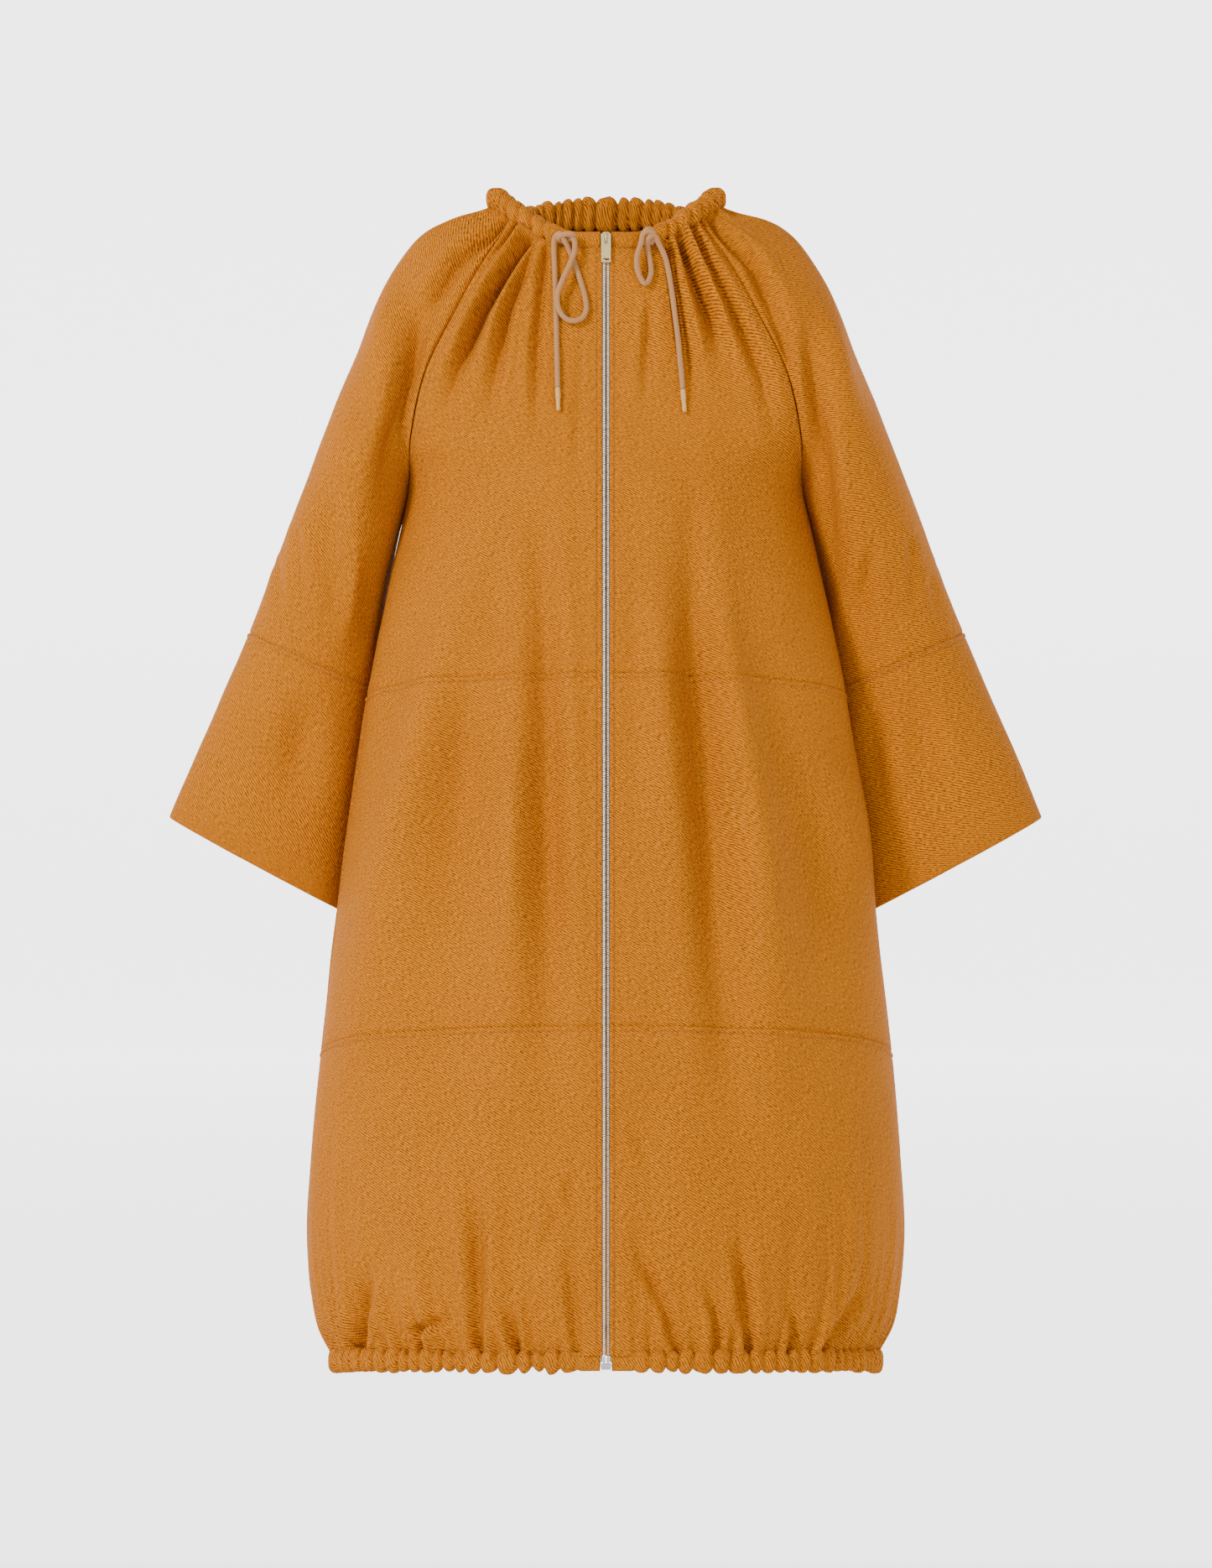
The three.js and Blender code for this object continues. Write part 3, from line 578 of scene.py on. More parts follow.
def brushed_twill(name, light, middle, dark):
    """Heavy brushed cotton twill, piece dyed: raised diagonal wales with a soft nap, which give a
    fine golden grain and a dull sheen at grazing angles; its colour holds painted shade in the
    furrows and a painted highlight on the wales."""
    material, tree = new_material(name)
    place = node(tree, "ShaderNodeTexCoord").outputs["UV"]
    turned = node(tree, "ShaderNodeMapping", {"Rotation": (0, 0, TWILL_ANGLE * DEGREE)},
                  {"Vector": place}).outputs[0]
    wobble = node(tree, "ShaderNodeTexNoise", {"Scale": 120.0, "Detail": 2.0},
                  {"Vector": place}).outputs["Fac"]
    parts = node(tree, "ShaderNodeSeparateXYZ", links={0: turned})
    across = maths(tree, "ADD", parts.outputs["Y"], maths(tree, "MULTIPLY", wobble, 0.0018))
    wale = maths(tree, "SINE", maths(tree, "MULTIPLY", across, 2 * math.pi / (TWILL_PITCH * MM)))
    step = maths(tree, "ADD", maths(tree, "MULTIPLY", parts.outputs["X"],
                                    2 * math.pi / (WEFT_PITCH * MM)),
                 maths(tree, "MULTIPLY", across, 2.4 / (TWILL_PITCH * MM)))
    grain = maths(tree, "SINE", step)
    yarn = node(tree, "ShaderNodeMapping", {"Scale": (260.0, 900.0, 1.0)},
                {"Vector": turned}).outputs[0]
    slub = node(tree, "ShaderNodeTexNoise", {"Scale": 1.0, "Detail": 3.0, "Roughness": 0.6},
                {"Vector": yarn}).outputs["Fac"]
    relief = maths(tree, "ADD", maths(tree, "MULTIPLY", wale, 0.34),
                   maths(tree, "MULTIPLY", grain, 0.13))
    shade = maths(tree, "ADD", maths(tree, "ADD", relief, 0.5),
                  maths(tree, "MULTIPLY", maths(tree, "SUBTRACT", slub, 0.5), 2.6))
    # Painted shade and highlight: the ramp darkens the wales' furrows and lightens their crowns;
    # the slub noise gives the yarn's own tone.
    colour = ramp(tree, shade, ((0.0, dark), (0.45, middle), (1.0, light)))
    cloud = node(tree, "ShaderNodeTexNoise", {"Scale": 14.0, "Detail": 4.0},
                 {"Vector": place}).outputs["Fac"]
    value = maths(tree, "ADD", maths(tree, "MULTIPLY", cloud, 0.16), 0.92)
    tinted = node(tree, "ShaderNodeHueSaturation", links={"Color": colour, "Value": value})
    height = maths(tree, "ADD", relief, maths(tree, "MULTIPLY", slub, 0.5))
    bump = node(tree, "ShaderNodeBump", {"Strength": 0.6, "Distance": 0.0006},
                {"Height": height})
    shader = node(tree, "ShaderNodeBsdfPrincipled",
                  {"Roughness": 0.86, "IOR": 1.5, "Sheen Weight": 0.02, "Sheen Roughness": 0.5,
                   "Specular IOR Level": 0.1, "Sheen Tint": linear("#FFE3B8")},
                  {"Base Color": tinted.outputs[0], "Normal": bump.outputs[0]})
    output(tree, shader)
    return material


def braided_cord():
    """Round braided cotton cord: interlaced strands that give a fine herringbone, with painted
    shade between the strands.
    """
    material, tree = new_material("braided_cotton_cord")
    place = node(tree, "ShaderNodeTexCoord").outputs["UV"]
    parts = node(tree, "ShaderNodeSeparateXYZ", links={0: place})
    u, v = parts.outputs["X"], parts.outputs["Y"]
    around = maths(tree, "MULTIPLY", u, 2 * math.pi * 6 / (math.pi * CORD_DIAMETER * MM))
    along = maths(tree, "MULTIPLY", v, 2 * math.pi / (2.6 * MM))
    one = maths(tree, "SINE", maths(tree, "ADD", around, along))
    other = maths(tree, "SINE", maths(tree, "SUBTRACT", around, along))
    strands = maths(tree, "MAXIMUM", one, other)
    fuzz = node(tree, "ShaderNodeTexNoise", {"Scale": 1800.0, "Detail": 2.0},
                {"Vector": place}).outputs["Fac"]
    shade = maths(tree, "ADD", maths(tree, "MULTIPLY", strands, 0.3),
                  maths(tree, "MULTIPLY", fuzz, 0.6))
    # Painted shade: the ramp darkens the gaps between the strands; the fuzz noise gives the
    # cord's own tone.
    colour = ramp(tree, shade, ((0.0, "#7C5128"), (0.5, "#B07A46"), (1.0, "#CB9760")))
    bump = node(tree, "ShaderNodeBump", {"Strength": 0.5, "Distance": 0.0004},
                {"Height": shade})
    shader = node(tree, "ShaderNodeBsdfPrincipled",
                  {"Roughness": 0.8, "Sheen Weight": 0.2, "Specular IOR Level": 0.3},
                  {"Base Color": colour, "Normal": bump.outputs[0]})
    output(tree, shader)
    return material


def plain_finish(name, base, spread, roughness, metallic=0.0, grain=900.0, relief=0.00004,
                 coat=0.0, subsurface=0.0):
    """A finish whose colour and gloss vary slightly with a fine noise of its own grain."""
    material, tree = new_material(name)
    place = node(tree, "ShaderNodeTexCoord").outputs["Object"]
    noise = node(tree, "ShaderNodeTexNoise", {"Scale": grain, "Detail": 3.0},
                 {"Vector": place}).outputs["Fac"]
    colour = ramp(tree, noise, ((0.3, spread[0]), (0.5, base), (0.7, spread[1])))
    rough = maths(tree, "ADD", maths(tree, "MULTIPLY", noise, 0.16), roughness - 0.08)
    bump = node(tree, "ShaderNodeBump", {"Strength": 0.35, "Distance": relief},
                {"Height": noise})
    settings = {"Metallic": metallic, "Coat Weight": coat, "Subsurface Weight": subsurface}
    shader = node(tree, "ShaderNodeBsdfPrincipled", settings,
                  {"Base Color": colour, "Roughness": rough, "Normal": bump.outputs[0]})
    output(tree, shader)
    return material


def woven_tape(name, base, dark, pitch):
    """Woven polyester zip tape or elastic: a plain weave with fine ribs."""
    material, tree = new_material(name)
    place = node(tree, "ShaderNodeTexCoord").outputs["Object"]
    parts = node(tree, "ShaderNodeSeparateXYZ", links={0: place})
    rate = 2 * math.pi / (pitch * MM)
    rib = maths(tree, "SINE", maths(tree, "MULTIPLY", parts.outputs["Z"], rate))
    warp = maths(tree, "SINE", maths(tree, "MULTIPLY", parts.outputs["X"], rate))
    shade = maths(tree, "ADD", maths(tree, "MULTIPLY", maths(tree, "MULTIPLY", rib, warp), 0.4),
                  0.5)
    colour = ramp(tree, shade, ((0.0, dark), (1.0, base)))
    bump = node(tree, "ShaderNodeBump", {"Strength": 0.4, "Distance": 0.0002}, {"Height": shade})
    shader = node(tree, "ShaderNodeBsdfPrincipled", {"Roughness": 0.85},
                  {"Base Color": colour, "Normal": bump.outputs[0]})
    output(tree, shader)
    return material


TWILL_TONES_AND_PAINTED_SHADE = ("#D07C0E", "#A65E02", "#693600")
TWILL = brushed_twill("brushed_cotton_twill", *TWILL_TONES_AND_PAINTED_SHADE)
CORD = braided_cord()
TIP = plain_finish("dipped_tip", "#C4904A", ("#BB8640", "#CC9A55"), 0.42)
THREAD_FINISH = plain_finish("spun_polyester_thread", "#9C5C12", ("#86490A", "#B2701E"), 0.7,
                             grain=2500.0)
ENAMEL = plain_finish("cream_enamelled_zinc", "#BFA671", ("#B79D66", "#C7B07E"), 0.34,
                      metallic=0.15, coat=0.3)
TOOTH_METAL = plain_finish("polished_aluminium_teeth", "#D2C4AD", ("#C2B49D", "#E0D4C0"), 0.36,
                           metallic=0.7)
BOX_METAL = plain_finish("plated_steel", "#B9B8B4", ("#A9A8A4", "#C8C7C3"), 0.36, metallic=1.0)
TAPE = woven_tape("woven_zip_tape", "#B79B7E", "#8F765C", 0.9)
ELASTIC = woven_tape("woven_elastic", "#E8E4DA", "#C9C4B6", 1.4)


def finish_with(piece, material, slot):
    piece.data.materials.clear()
    piece.data.materials.append(material)
    return piece


def glowing_paper():
    """Matt white paper that glows with painted light of its own, faintly in front of the coat and
    strongly behind it, so that it shows no shadow.
    """
    material, tree = new_material("matt_paper_painted_glow")
    place = node(tree, "ShaderNodeTexCoord").outputs["Object"]
    grain = node(tree, "ShaderNodeTexNoise", {"Scale": 400.0}, {"Vector": place}).outputs["Fac"]
    colour = ramp(tree, grain, ((0.0, "#E4E4E6"), (1.0, "#E8E8EA")))
    depth = node(tree, "ShaderNodeSeparateXYZ", links={0: place}).outputs["Y"]
    # Painted light: the paper glows of itself, at 0.2 everywhere and rising to 2.6 behind the
    # coat.
    behind = maths(tree, "MULTIPLY", maths(tree, "SUBTRACT", depth, 1.5), 6.0)
    glow = node(tree, "ShaderNodeClamp", {"Min": 0.2, "Max": 2.6}, {"Value": behind})
    shader = node(tree, "ShaderNodeBsdfPrincipled",
                  {"Roughness": 0.95, "Specular IOR Level": 0.0,
                   "Emission Color": linear("#F2F2F5")},
                  {"Base Color": colour, "Emission Strength": glow.outputs[0]})
    output(tree, shader)
    return material


# ---- Camera -------------------------------------------------------------------------

CAMERA_DISTANCE = 4.6
CAMERA_HEIGHT = -0.545
VIEW_HEIGHT = 1.5326                    # metres seen from top to bottom at the coat

camera_data = bpy.data.cameras.new("camera")
camera_data.sensor_fit = "VERTICAL"
camera_data.sensor_height = 36
camera_data.lens = 36 * CAMERA_DISTANCE / VIEW_HEIGHT
camera = bpy.data.objects.new("camera", camera_data)
camera.location = (0, -CAMERA_DISTANCE, CAMERA_HEIGHT)
camera.rotation_euler = (math.pi / 2, 0, 0)
scene.collection.objects.link(camera)
scene.camera = camera

# ---- Drawcord ends ------------------------------------------------------------------


def front_face_y(x, z):
    """The coat's front face at a place on it, by halving the rows that hold the place."""
    above, below = 0.0, float(UNDERARM)
    for _ in range(20):
        middle = (above + below) / 2
        if body_plain(middle, across_at(middle, abs(x)), -1, 1)[..., 2] > z:
            above = middle
        else:
            below = middle
    return float(body_plain(above, across_at(above, abs(x)), -1, 1)[..., 1])


def smooth_path(points, count):
    """A Catmull-Rom curve through points, at evenly spaced places."""
    table = {axis: [p[i] for p in points] for i, axis in enumerate("xyz")}
    t = np.linspace(0, len(points) - 1, 60 * len(points))
    dense = stack(*(between(table, axis, t) for axis in "xyz"))
    run = np.concatenate([[0], np.cumsum(np.linalg.norm(np.diff(dense, axis=0), axis=1))])
    places = np.linspace(0, run[-1], count)
    return stack(*(np.interp(places, run, dense[:, i]) for i in range(3))), run[-1]


def tube(name, path, radius, sides=16, closed_ends=True):
    """A round tube along a path, with cloth coordinates round it and along it."""
    tangent = np.gradient(path, axis=0)
    tangent /= np.linalg.norm(tangent, axis=1, keepdims=True)
    side = np.cross(tangent[0], [0, 0, 1.0])
    if np.linalg.norm(side) < 0.1:
        side = np.cross(tangent[0], [0, 1.0, 0])
    frames = []
    for t in tangent:
        side = side - t * (side @ t)
        side /= np.linalg.norm(side)
        frames.append((side.copy(), np.cross(t, side)))
    angle = np.linspace(0, 2 * math.pi, sides + 1)
    radii = np.broadcast_to(radius, len(path))
    points = np.array([
        p + r * (np.outer(np.cos(angle), a) + np.outer(np.sin(angle), b))
        for p, r, (a, b) in zip(path, radii, frames)])
    run = np.concatenate([[0], np.cumsum(np.linalg.norm(np.diff(path, axis=0), axis=1))])
    uvs = stack(np.broadcast_to(angle * np.max(radii), points.shape[:2]),
                np.broadcast_to(run[:, None], points.shape[:2]))
    piece = grid_piece(name, points, uvs, merge=True)
    bm = bmesh.new()
    bm.from_mesh(piece.data)
    if closed_ends:
        open_edges = [e for e in bm.edges if e.is_boundary]
        bmesh.ops.holes_fill(bm, edges=open_edges, sides=0)
    bmesh.ops.recalc_face_normals(bm, faces=bm.faces)
    bm.to_mesh(piece.data)
    bm.free()
    return piece


for side_name, route in CORD_ROUTES.items():
    points = [(x, front_face_y(x, z) - out, z) for x, z, out in route]
    path, length = smooth_path(points, 260)
    cord = finish_with(tube(f"drawcord_{side_name}", path, CORD_DIAMETER / 2), CORD, "cord")
    along = path[-1] - path[-6]
    along /= np.linalg.norm(along)
    share = np.array([0, 0.02, 0.06, 0.4, 0.46, 0.52, 0.94, 0.98, 1.0])
    radii = np.array([0.5, 0.94, 1.04, 1.02, 0.97, 0.84, 0.82, 0.7, 0.3]) * CORD_DIAMETER / 2
    t = np.linspace(0, 1, 40)
    tip_path = path[-1] + along * (0.3 + TIP_LENGTH * t)[:, None]
    tip = tube(f"dipped_tip_{side_name}", tip_path, np.interp(t, share, radii), sides=20)
    finish_with(tip, TIP, "cord_tip")
    turn = np.linspace(0, 2 * math.pi, 49)
    x, z, out, wide, high, deep, slant = KNOTS[side_name]
    ring_x, ring_z = wide * np.cos(turn), high * np.sin(turn)
    ring = stack(x + ring_x * math.cos(slant) - ring_z * math.sin(slant),
                 front_face_y(x, z) - out - deep * np.sin(turn + 0.5),
                 z + ring_x * math.sin(slant) + ring_z * math.cos(slant))
    knot = tube(f"knot_turn_{side_name}", ring, CORD_DIAMETER / 2, closed_ends=False)
    finish_with(knot, CORD, "cord")
    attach(knot, "coat")
    for piece, node_name in ((cord, f"cord_{side_name}"), (tip, f"cord_tip_{side_name}")):
        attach(piece, "coat")
        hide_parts(node_name)
    [tuple(p * MM) for p in path]

# ---- Body panels --------------------------------------------------------------------

FINE = (0, 0.6, 1.2, 1.9, 2.8, 4.0, 5.1, 5.7, 6.3, 7.0, 8.0, 10.0, 12.5)
UNDER = 6.0                             # how far a turning runs on beneath its neighbour
FAR_FROM_SEAM = 99                      # a distance at which no seam shapes the cloth
HIDDEN_EDGE = 3.0                       # how far a panel runs on into a casing


def body_place(side, sign, seam_top, seam_bottom):
    """The place of a body panel's cloth as a function of depth (mm) and "across"."""
    top, bottom = (-BODY["z"][seam] for seam in (seam_top, seam_bottom))
    ridden = seam_top != 0

    def place(depth, across):
        depth, across = np.broadcast_arrays(depth, across)
        row = row_at(depth)
        plain = body_plain(row, across, side, sign)
        normal = normals(lambda r, a: body_plain(r, a, side, sign), row, across,
                         0.02, 0.004, -side * sign)
        height = body_height(row, across, side, sign, plain)
        edge = np.abs(plain[..., 0])
        if side < 0:
            dip = 1.1 * bell(edge - TOPSTITCH, 0.8) + 0.5 * bell(edge - CLOTH_EDGE, 0.9)
            pucker = 0.3 * np.sin(depth * 0.42 + 2 * np.sin(depth * 0.031)) * bell(edge - 6, 9)
            height = height * smooth((edge - FLAT_FRONT) / FLAT_FRONT_EASE) - dip + pucker
        if ridden:
            height = height + seam_roll(depth - top, under=False)
        if seam_bottom != HEM:
            height = height - 1.1 * bell(bottom - depth, 1.1) * (depth <= bottom)
            height = height - 2.4 * smooth((depth - bottom) / 1.6)
        width = body_edge(row, side)[..., 0]
        past = (across - 1) * width
        lapped = smooth((UNDERARM - 0.3 - row) * 4) * smooth(LAP_STITCH + 0.9 + past)
        proud = lapped * (0.9 * smooth(-past / 1.8) - 0.8 * bell(past + LAP_STITCH, 0.9))
        height = height - 0.9 * bell(past, 1.4) - 2.3 * smooth((past + 0.2) / 2.0) + proud
        return plain + normal * height[..., None], normal

    return place


def body_grid(side, sign, seam_top, seam_bottom, columns):
    top, bottom = (-BODY["z"][seam] for seam in (seam_top, seam_bottom))
    start = top if seam_top else top - HIDDEN_EDGE
    end = bottom + (HIDDEN_EDGE if seam_bottom == HEM else UNDER)
    fine_end = (0, 1.5, 3.2, 4.4, 5.2, 5.8, 6.4, 7.2, 8.6, 11.0)
    depths = spaced(start, end, 3.0, FINE if seam_top else (), fine_end)
    rows = row_at(depths)
    if side < 0:
        near = np.array([CLOTH_EDGE, 4.3, 5.0, 6.0, 7.2, 7.8, 8.3, 8.8, 9.5, 10.8, 13.0])
        first = np.array([across_at(rows, x) for x in near]).T
    else:
        first = np.zeros((len(rows), 1))
    width = body_edge(rows, side)[:, :1]
    last = 1 + UNDER * 0.8 / width
    lap = np.array([0, 2, 4, 5.2, 6.5, 8, 10, 13, 14.6, 15.6, 16.3, 17, 18, 20]) / 180
    share = spaced(0, 1, 1 / columns, (), lap)[None, 1:]
    across = np.concatenate([first, first[:, -1:] + (last - first[:, -1:]) * share], axis=1)
    return depths[:, None] + 0 * across, across


def body_piece(name, side, sign, seam_top, seam_bottom, columns=118):
    depth, across = body_grid(side, sign, seam_top, seam_bottom, columns)
    points, normal = body_place(side, sign, seam_top, seam_bottom)(depth, across)
    run = cloth_lengths(body_plain(row_at(depth), across, side, sign)) * sign
    piece = grid_piece(name, points, stack(run, -depth))
    face_outwards(piece, normal, points)
    thicken(piece)
    return piece, flat_size(points)


def join_halves(name, halves):
    """The two halves of a back panel, which is cut in one piece, as one mesh."""
    bm = bmesh.new()
    for half in halves:
        bm.from_mesh(half.data)
        bpy.data.objects.remove(half)
    bmesh.ops.remove_doubles(bm, verts=bm.verts, dist=1e-4)
    return thicken(from_bmesh(name, bm))


def flat_size(points):
    """Widest row, mean column length and area of a cloth grid, in mm."""
    width = cloth_lengths(points)[:, -1].max()
    columns = np.linalg.norm(np.diff(points, axis=0), axis=-1).sum(axis=0)
    one, other = points[1:, 1:] - points[:-1, :-1], points[1:, :-1] - points[:-1, 1:]
    area = np.linalg.norm(np.cross(one, other), axis=-1).sum() / 2
    return float(width), float(columns.max()), float(area)


TIERS = (("upper", 0, UPPER_SEAM), ("middle", UPPER_SEAM, LOWER_SEAM), ("lower", LOWER_SEAM, HEM))
for tier, seam_top, seam_bottom in TIERS:
    for side_name, sign in (("left", 1), ("right", -1)):
        panel, size = body_piece(f"front_{tier}_{side_name}_cloth", -1, sign, seam_top,
                                 seam_bottom)
        finish_with(panel, TWILL, "twill")
        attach(panel, "coat")
        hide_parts(f"front_{tier}_{side_name}")
        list(size)
    halves = [body_piece(f"back_{tier}_{sign}", 1, sign, seam_top, seam_bottom)
              for sign in (1, -1)]
    panel = join_halves(f"back_{tier}_cloth", [half for half, _ in halves])
    finish_with(panel, TWILL, "twill")
    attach(panel, "coat")
    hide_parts(f"back_{tier}")

# ---- Facings ------------------------------------------------------------------------
# Each lies behind its zip tape and, past the tape's edge, clear of the tier seams' turnings.

FACING_EDGES = (6.5, 36.0)              # from the centre front to the two edges of a facing
FACING_THICKNESS = 1.0
BEHIND_TAPE, BEHIND_TURNINGS, TAPE_EDGE = 3.5, 1.5, 15

for side_name, sign in (("left", 1), ("right", -1)):
    top, bottom = -BODY["z"][0] + 4, -BODY["z"][HEM] - 4
    depth = np.linspace(top, bottom, 420)[:, None]
    reach = np.linspace(*FACING_EDGES, 14)
    across = np.array([across_at(row_at(depth[:, 0]), x) for x in reach]).T
    points, normal = body_place(-1, sign, 0, HEM)(depth, across)
    behind = BEHIND_TAPE + BEHIND_TURNINGS * smooth((reach - TAPE_EDGE) / 8)
    points = points - normal * behind[None, :, None]
    facing = grid_piece(f"front_facing_cloth_{side_name}", points,
                        stack(sign * reach + 0 * depth, -depth + 0 * reach))
    face_outwards(facing, normal, points)
    thicken(facing, FACING_THICKNESS)
    finish_with(facing, TWILL, "facing")
    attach(facing, "coat")
    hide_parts(f"front_facing_{side_name}")
    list(flat_size(points))

# ---- Sleeves ------------------------------------------------------------------------


def sleeve_place(sign, upper):
    """The place of a sleeve's cloth as a function of the run down it (mm) and the turn."""
    elbow = SLEEVE_LENGTH_AT[ELBOW]

    def place(run, turn):
        run, turn = np.broadcast_arrays(run, turn)
        row = sleeve_row_at(run)
        plain = sleeve_plain(row, turn, sign)
        normal = normals(lambda r, t: sleeve_plain(r, t, sign), row, turn, 0.02, 0.004, sign)
        x, y, z = (plain[..., i] for i in range(3))
        middle = between(SLEEVE, "mid", row)
        facing = smooth((middle - y + 10) / 30)
        height = fold_field(x, z, SLEEVE_FOLDS[sign]) * facing
        mirror = fold_field(-x, z, SLEEVE_FOLDS[-sign]) * (1 - facing)
        height += mirror + undulation(x, z, 6 + sign, 0.8)
        seam_gap = SLEEVE_SEAM_REACH * (1 - np.abs(turn))
        height *= 1 - (1 - smooth(seam_gap / SLEEVE_CALM)) * smooth((ARMHOLE_RUN - run) / 30)
        ring = 90 + turn * (90 - NECK_TURN)
        height += gathers(neck_place(ring), run, NECK_PLEATS[sign], *SHOULDER_GATHER)
        if upper:
            height -= 1.1 * bell(elbow - run, 1.1) * (run <= elbow)
            height -= 2.4 * smooth((run - elbow) / 1.6)
            to_seam = np.where(run < ARMHOLE_RUN, seam_gap, FAR_FROM_SEAM)
            height += seam_roll(to_seam, under=False) * smooth((ARMHOLE_RUN - run) / 20)
        else:
            height += seam_roll(run - elbow, under=False)
            cuff = SLEEVE_LENGTH_AT[CUFF] - run
            height -= 1.2 * bell(cuff, 1.4)
        return plain + normal * height[..., None], normal

    return place


def sleeve_piece(name, sign, upper):
    elbow = SLEEVE_LENGTH_AT[ELBOW]
    if upper:
        runs = spaced(-HIDDEN_EDGE, elbow + UNDER, 3.2, (0, 1, 2, 3.2),
                      (0, 3, 4.6, 5.4, 6, 6.8, 8, 10))
    else:
        runs = spaced(elbow, SLEEVE_LENGTH_AT[CUFF], 3.6, FINE, (0, 0.8, 1.8, 3.4))
    turns = np.concatenate([[-1, -0.993, -0.986, -0.978, -0.968, -0.955, -0.948, -0.94],
                            np.linspace(-0.925, 0.925, 130),
                            [0.94, 0.948, 0.955, 0.968, 0.978, 0.986, 0.993, 1]])
    run, turn = runs[:, None] + 0 * turns, turns + 0 * runs[:, None]
    points, normal = sleeve_place(sign, upper)(run, turn)
    plain = sleeve_plain(sleeve_row_at(run), turn, sign)
    around = cloth_lengths(plain, len(turns) // 2) * sign
    piece = grid_piece(name, points, stack(around, -run), merge=True)
    face_outwards(piece, normal, points)
    thicken(piece)
    return piece, flat_size(points)


def blend_ends(sign):
    """Two points on a raglan sleeve: the middle of its underarm line and a point 150 mm below it.
    """
    outer = Vector((SLEEVE["ox"][UNDERARM], 0, SLEEVE["oz"][UNDERARM]))
    inner = Vector((SLEEVE["ix"][UNDERARM], 0, SLEEVE["iz"][UNDERARM]))
    across = (outer - inner).normalized()
    down = Vector((-across.z, 0, across.x)) * -1
    if down.z > 0:
        down.negate()
    middle = (outer + inner) / 2
    return [tuple((Vector((sign * p.x, SLEEVE["mid"][UNDERARM], p.z)) * MM))
            for p in (middle, middle + down * 150)]


for side_name, sign in (("left", 1), ("right", -1)):
    upper, size = sleeve_piece(f"sleeve_upper_{side_name}_cloth", sign, True)
    finish_with(upper, TWILL, "twill")
    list(size)
    start, end = blend_ends(sign)
    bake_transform(upper)
    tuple(start)
    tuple(end)
    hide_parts(f"sleeve_upper_{side_name}", f"sleeve_shoulder_{side_name}")
    lower, size = sleeve_piece(f"sleeve_lower_{side_name}_cloth", sign, False)
    finish_with(lower, TWILL, "twill")
    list(size)
    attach(lower, f"{side_name}_sleeve")
    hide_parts(f"sleeve_lower_{side_name}")

# ---- Casings ------------------------------------------------------------------------


def ring_points(row, edge, step):
    """The seam line of a casing, from the left front edge round the back to the right, with
    its outward directions, its place in mm from the centre front and its side."""
    half, place = [], []
    start = float(across_at(row, edge))
    for across in np.linspace(start, 1, 60)[:-1]:
        half.append(body_plain(row, across, -1, 1))
        place.append(neck_place(across * NECK_TURN) if row == 0 else across * HALF_HEM)
    if row == 0:
        for turn in np.linspace(-1, 1, 50)[:-1]:
            half.append(sleeve_plain(np.float64(0), np.float64(turn), 1))
            place.append(neck_place(90 + turn * (90 - NECK_TURN)))
    for across in np.linspace(1, 0, 60):
        half.append(body_plain(row, across, 1, 1))
        place.append(neck_place(180 - across * NECK_TURN) if row == 0
                     else 2 * HALF_HEM - across * HALF_HEM)
    half, place = np.array(half), np.array(place)
    line = np.concatenate([half, half[-2::-1] * [-1, 1, 1]])
    place = np.concatenate([place, -place[-2::-1]])
    run = np.concatenate([[0], np.cumsum(np.linalg.norm(np.diff(line, axis=0), axis=1))])
    even = np.linspace(0, run[-1], int(run[-1] / step))
    line = stack(*(np.interp(even, run, line[:, i]) for i in range(3)))
    sign = np.sign(np.interp(even, run, np.sign(place)))
    place = np.interp(even, run, np.abs(place))
    tangent = np.gradient(line, axis=0)
    out = stack(tangent[:, 1], -tangent[:, 0], 0 * tangent[:, 0])
    out /= np.linalg.norm(out, axis=1, keepdims=True)
    return line, out, place, np.where(sign == 0, 1, sign), even


def pleat_valleys(place, sign, pleats_for, width):
    """How deep in a pleat each place of the ring lies, from 0 to 1."""
    valley = np.zeros(len(place))
    for value in (-1, 1):
        for at, strength, _ in pleats_for(value):
            valley += (sign == value) * strength * np.exp(-np.abs(place - at) / width)
    return np.minimum(valley, 1)


FLAT_CASING = 0.6                       # thickness beside the zip, where nothing is gathered
BACK_TURNING = 13.0                     # the neck casing reaches this much lower inside the back


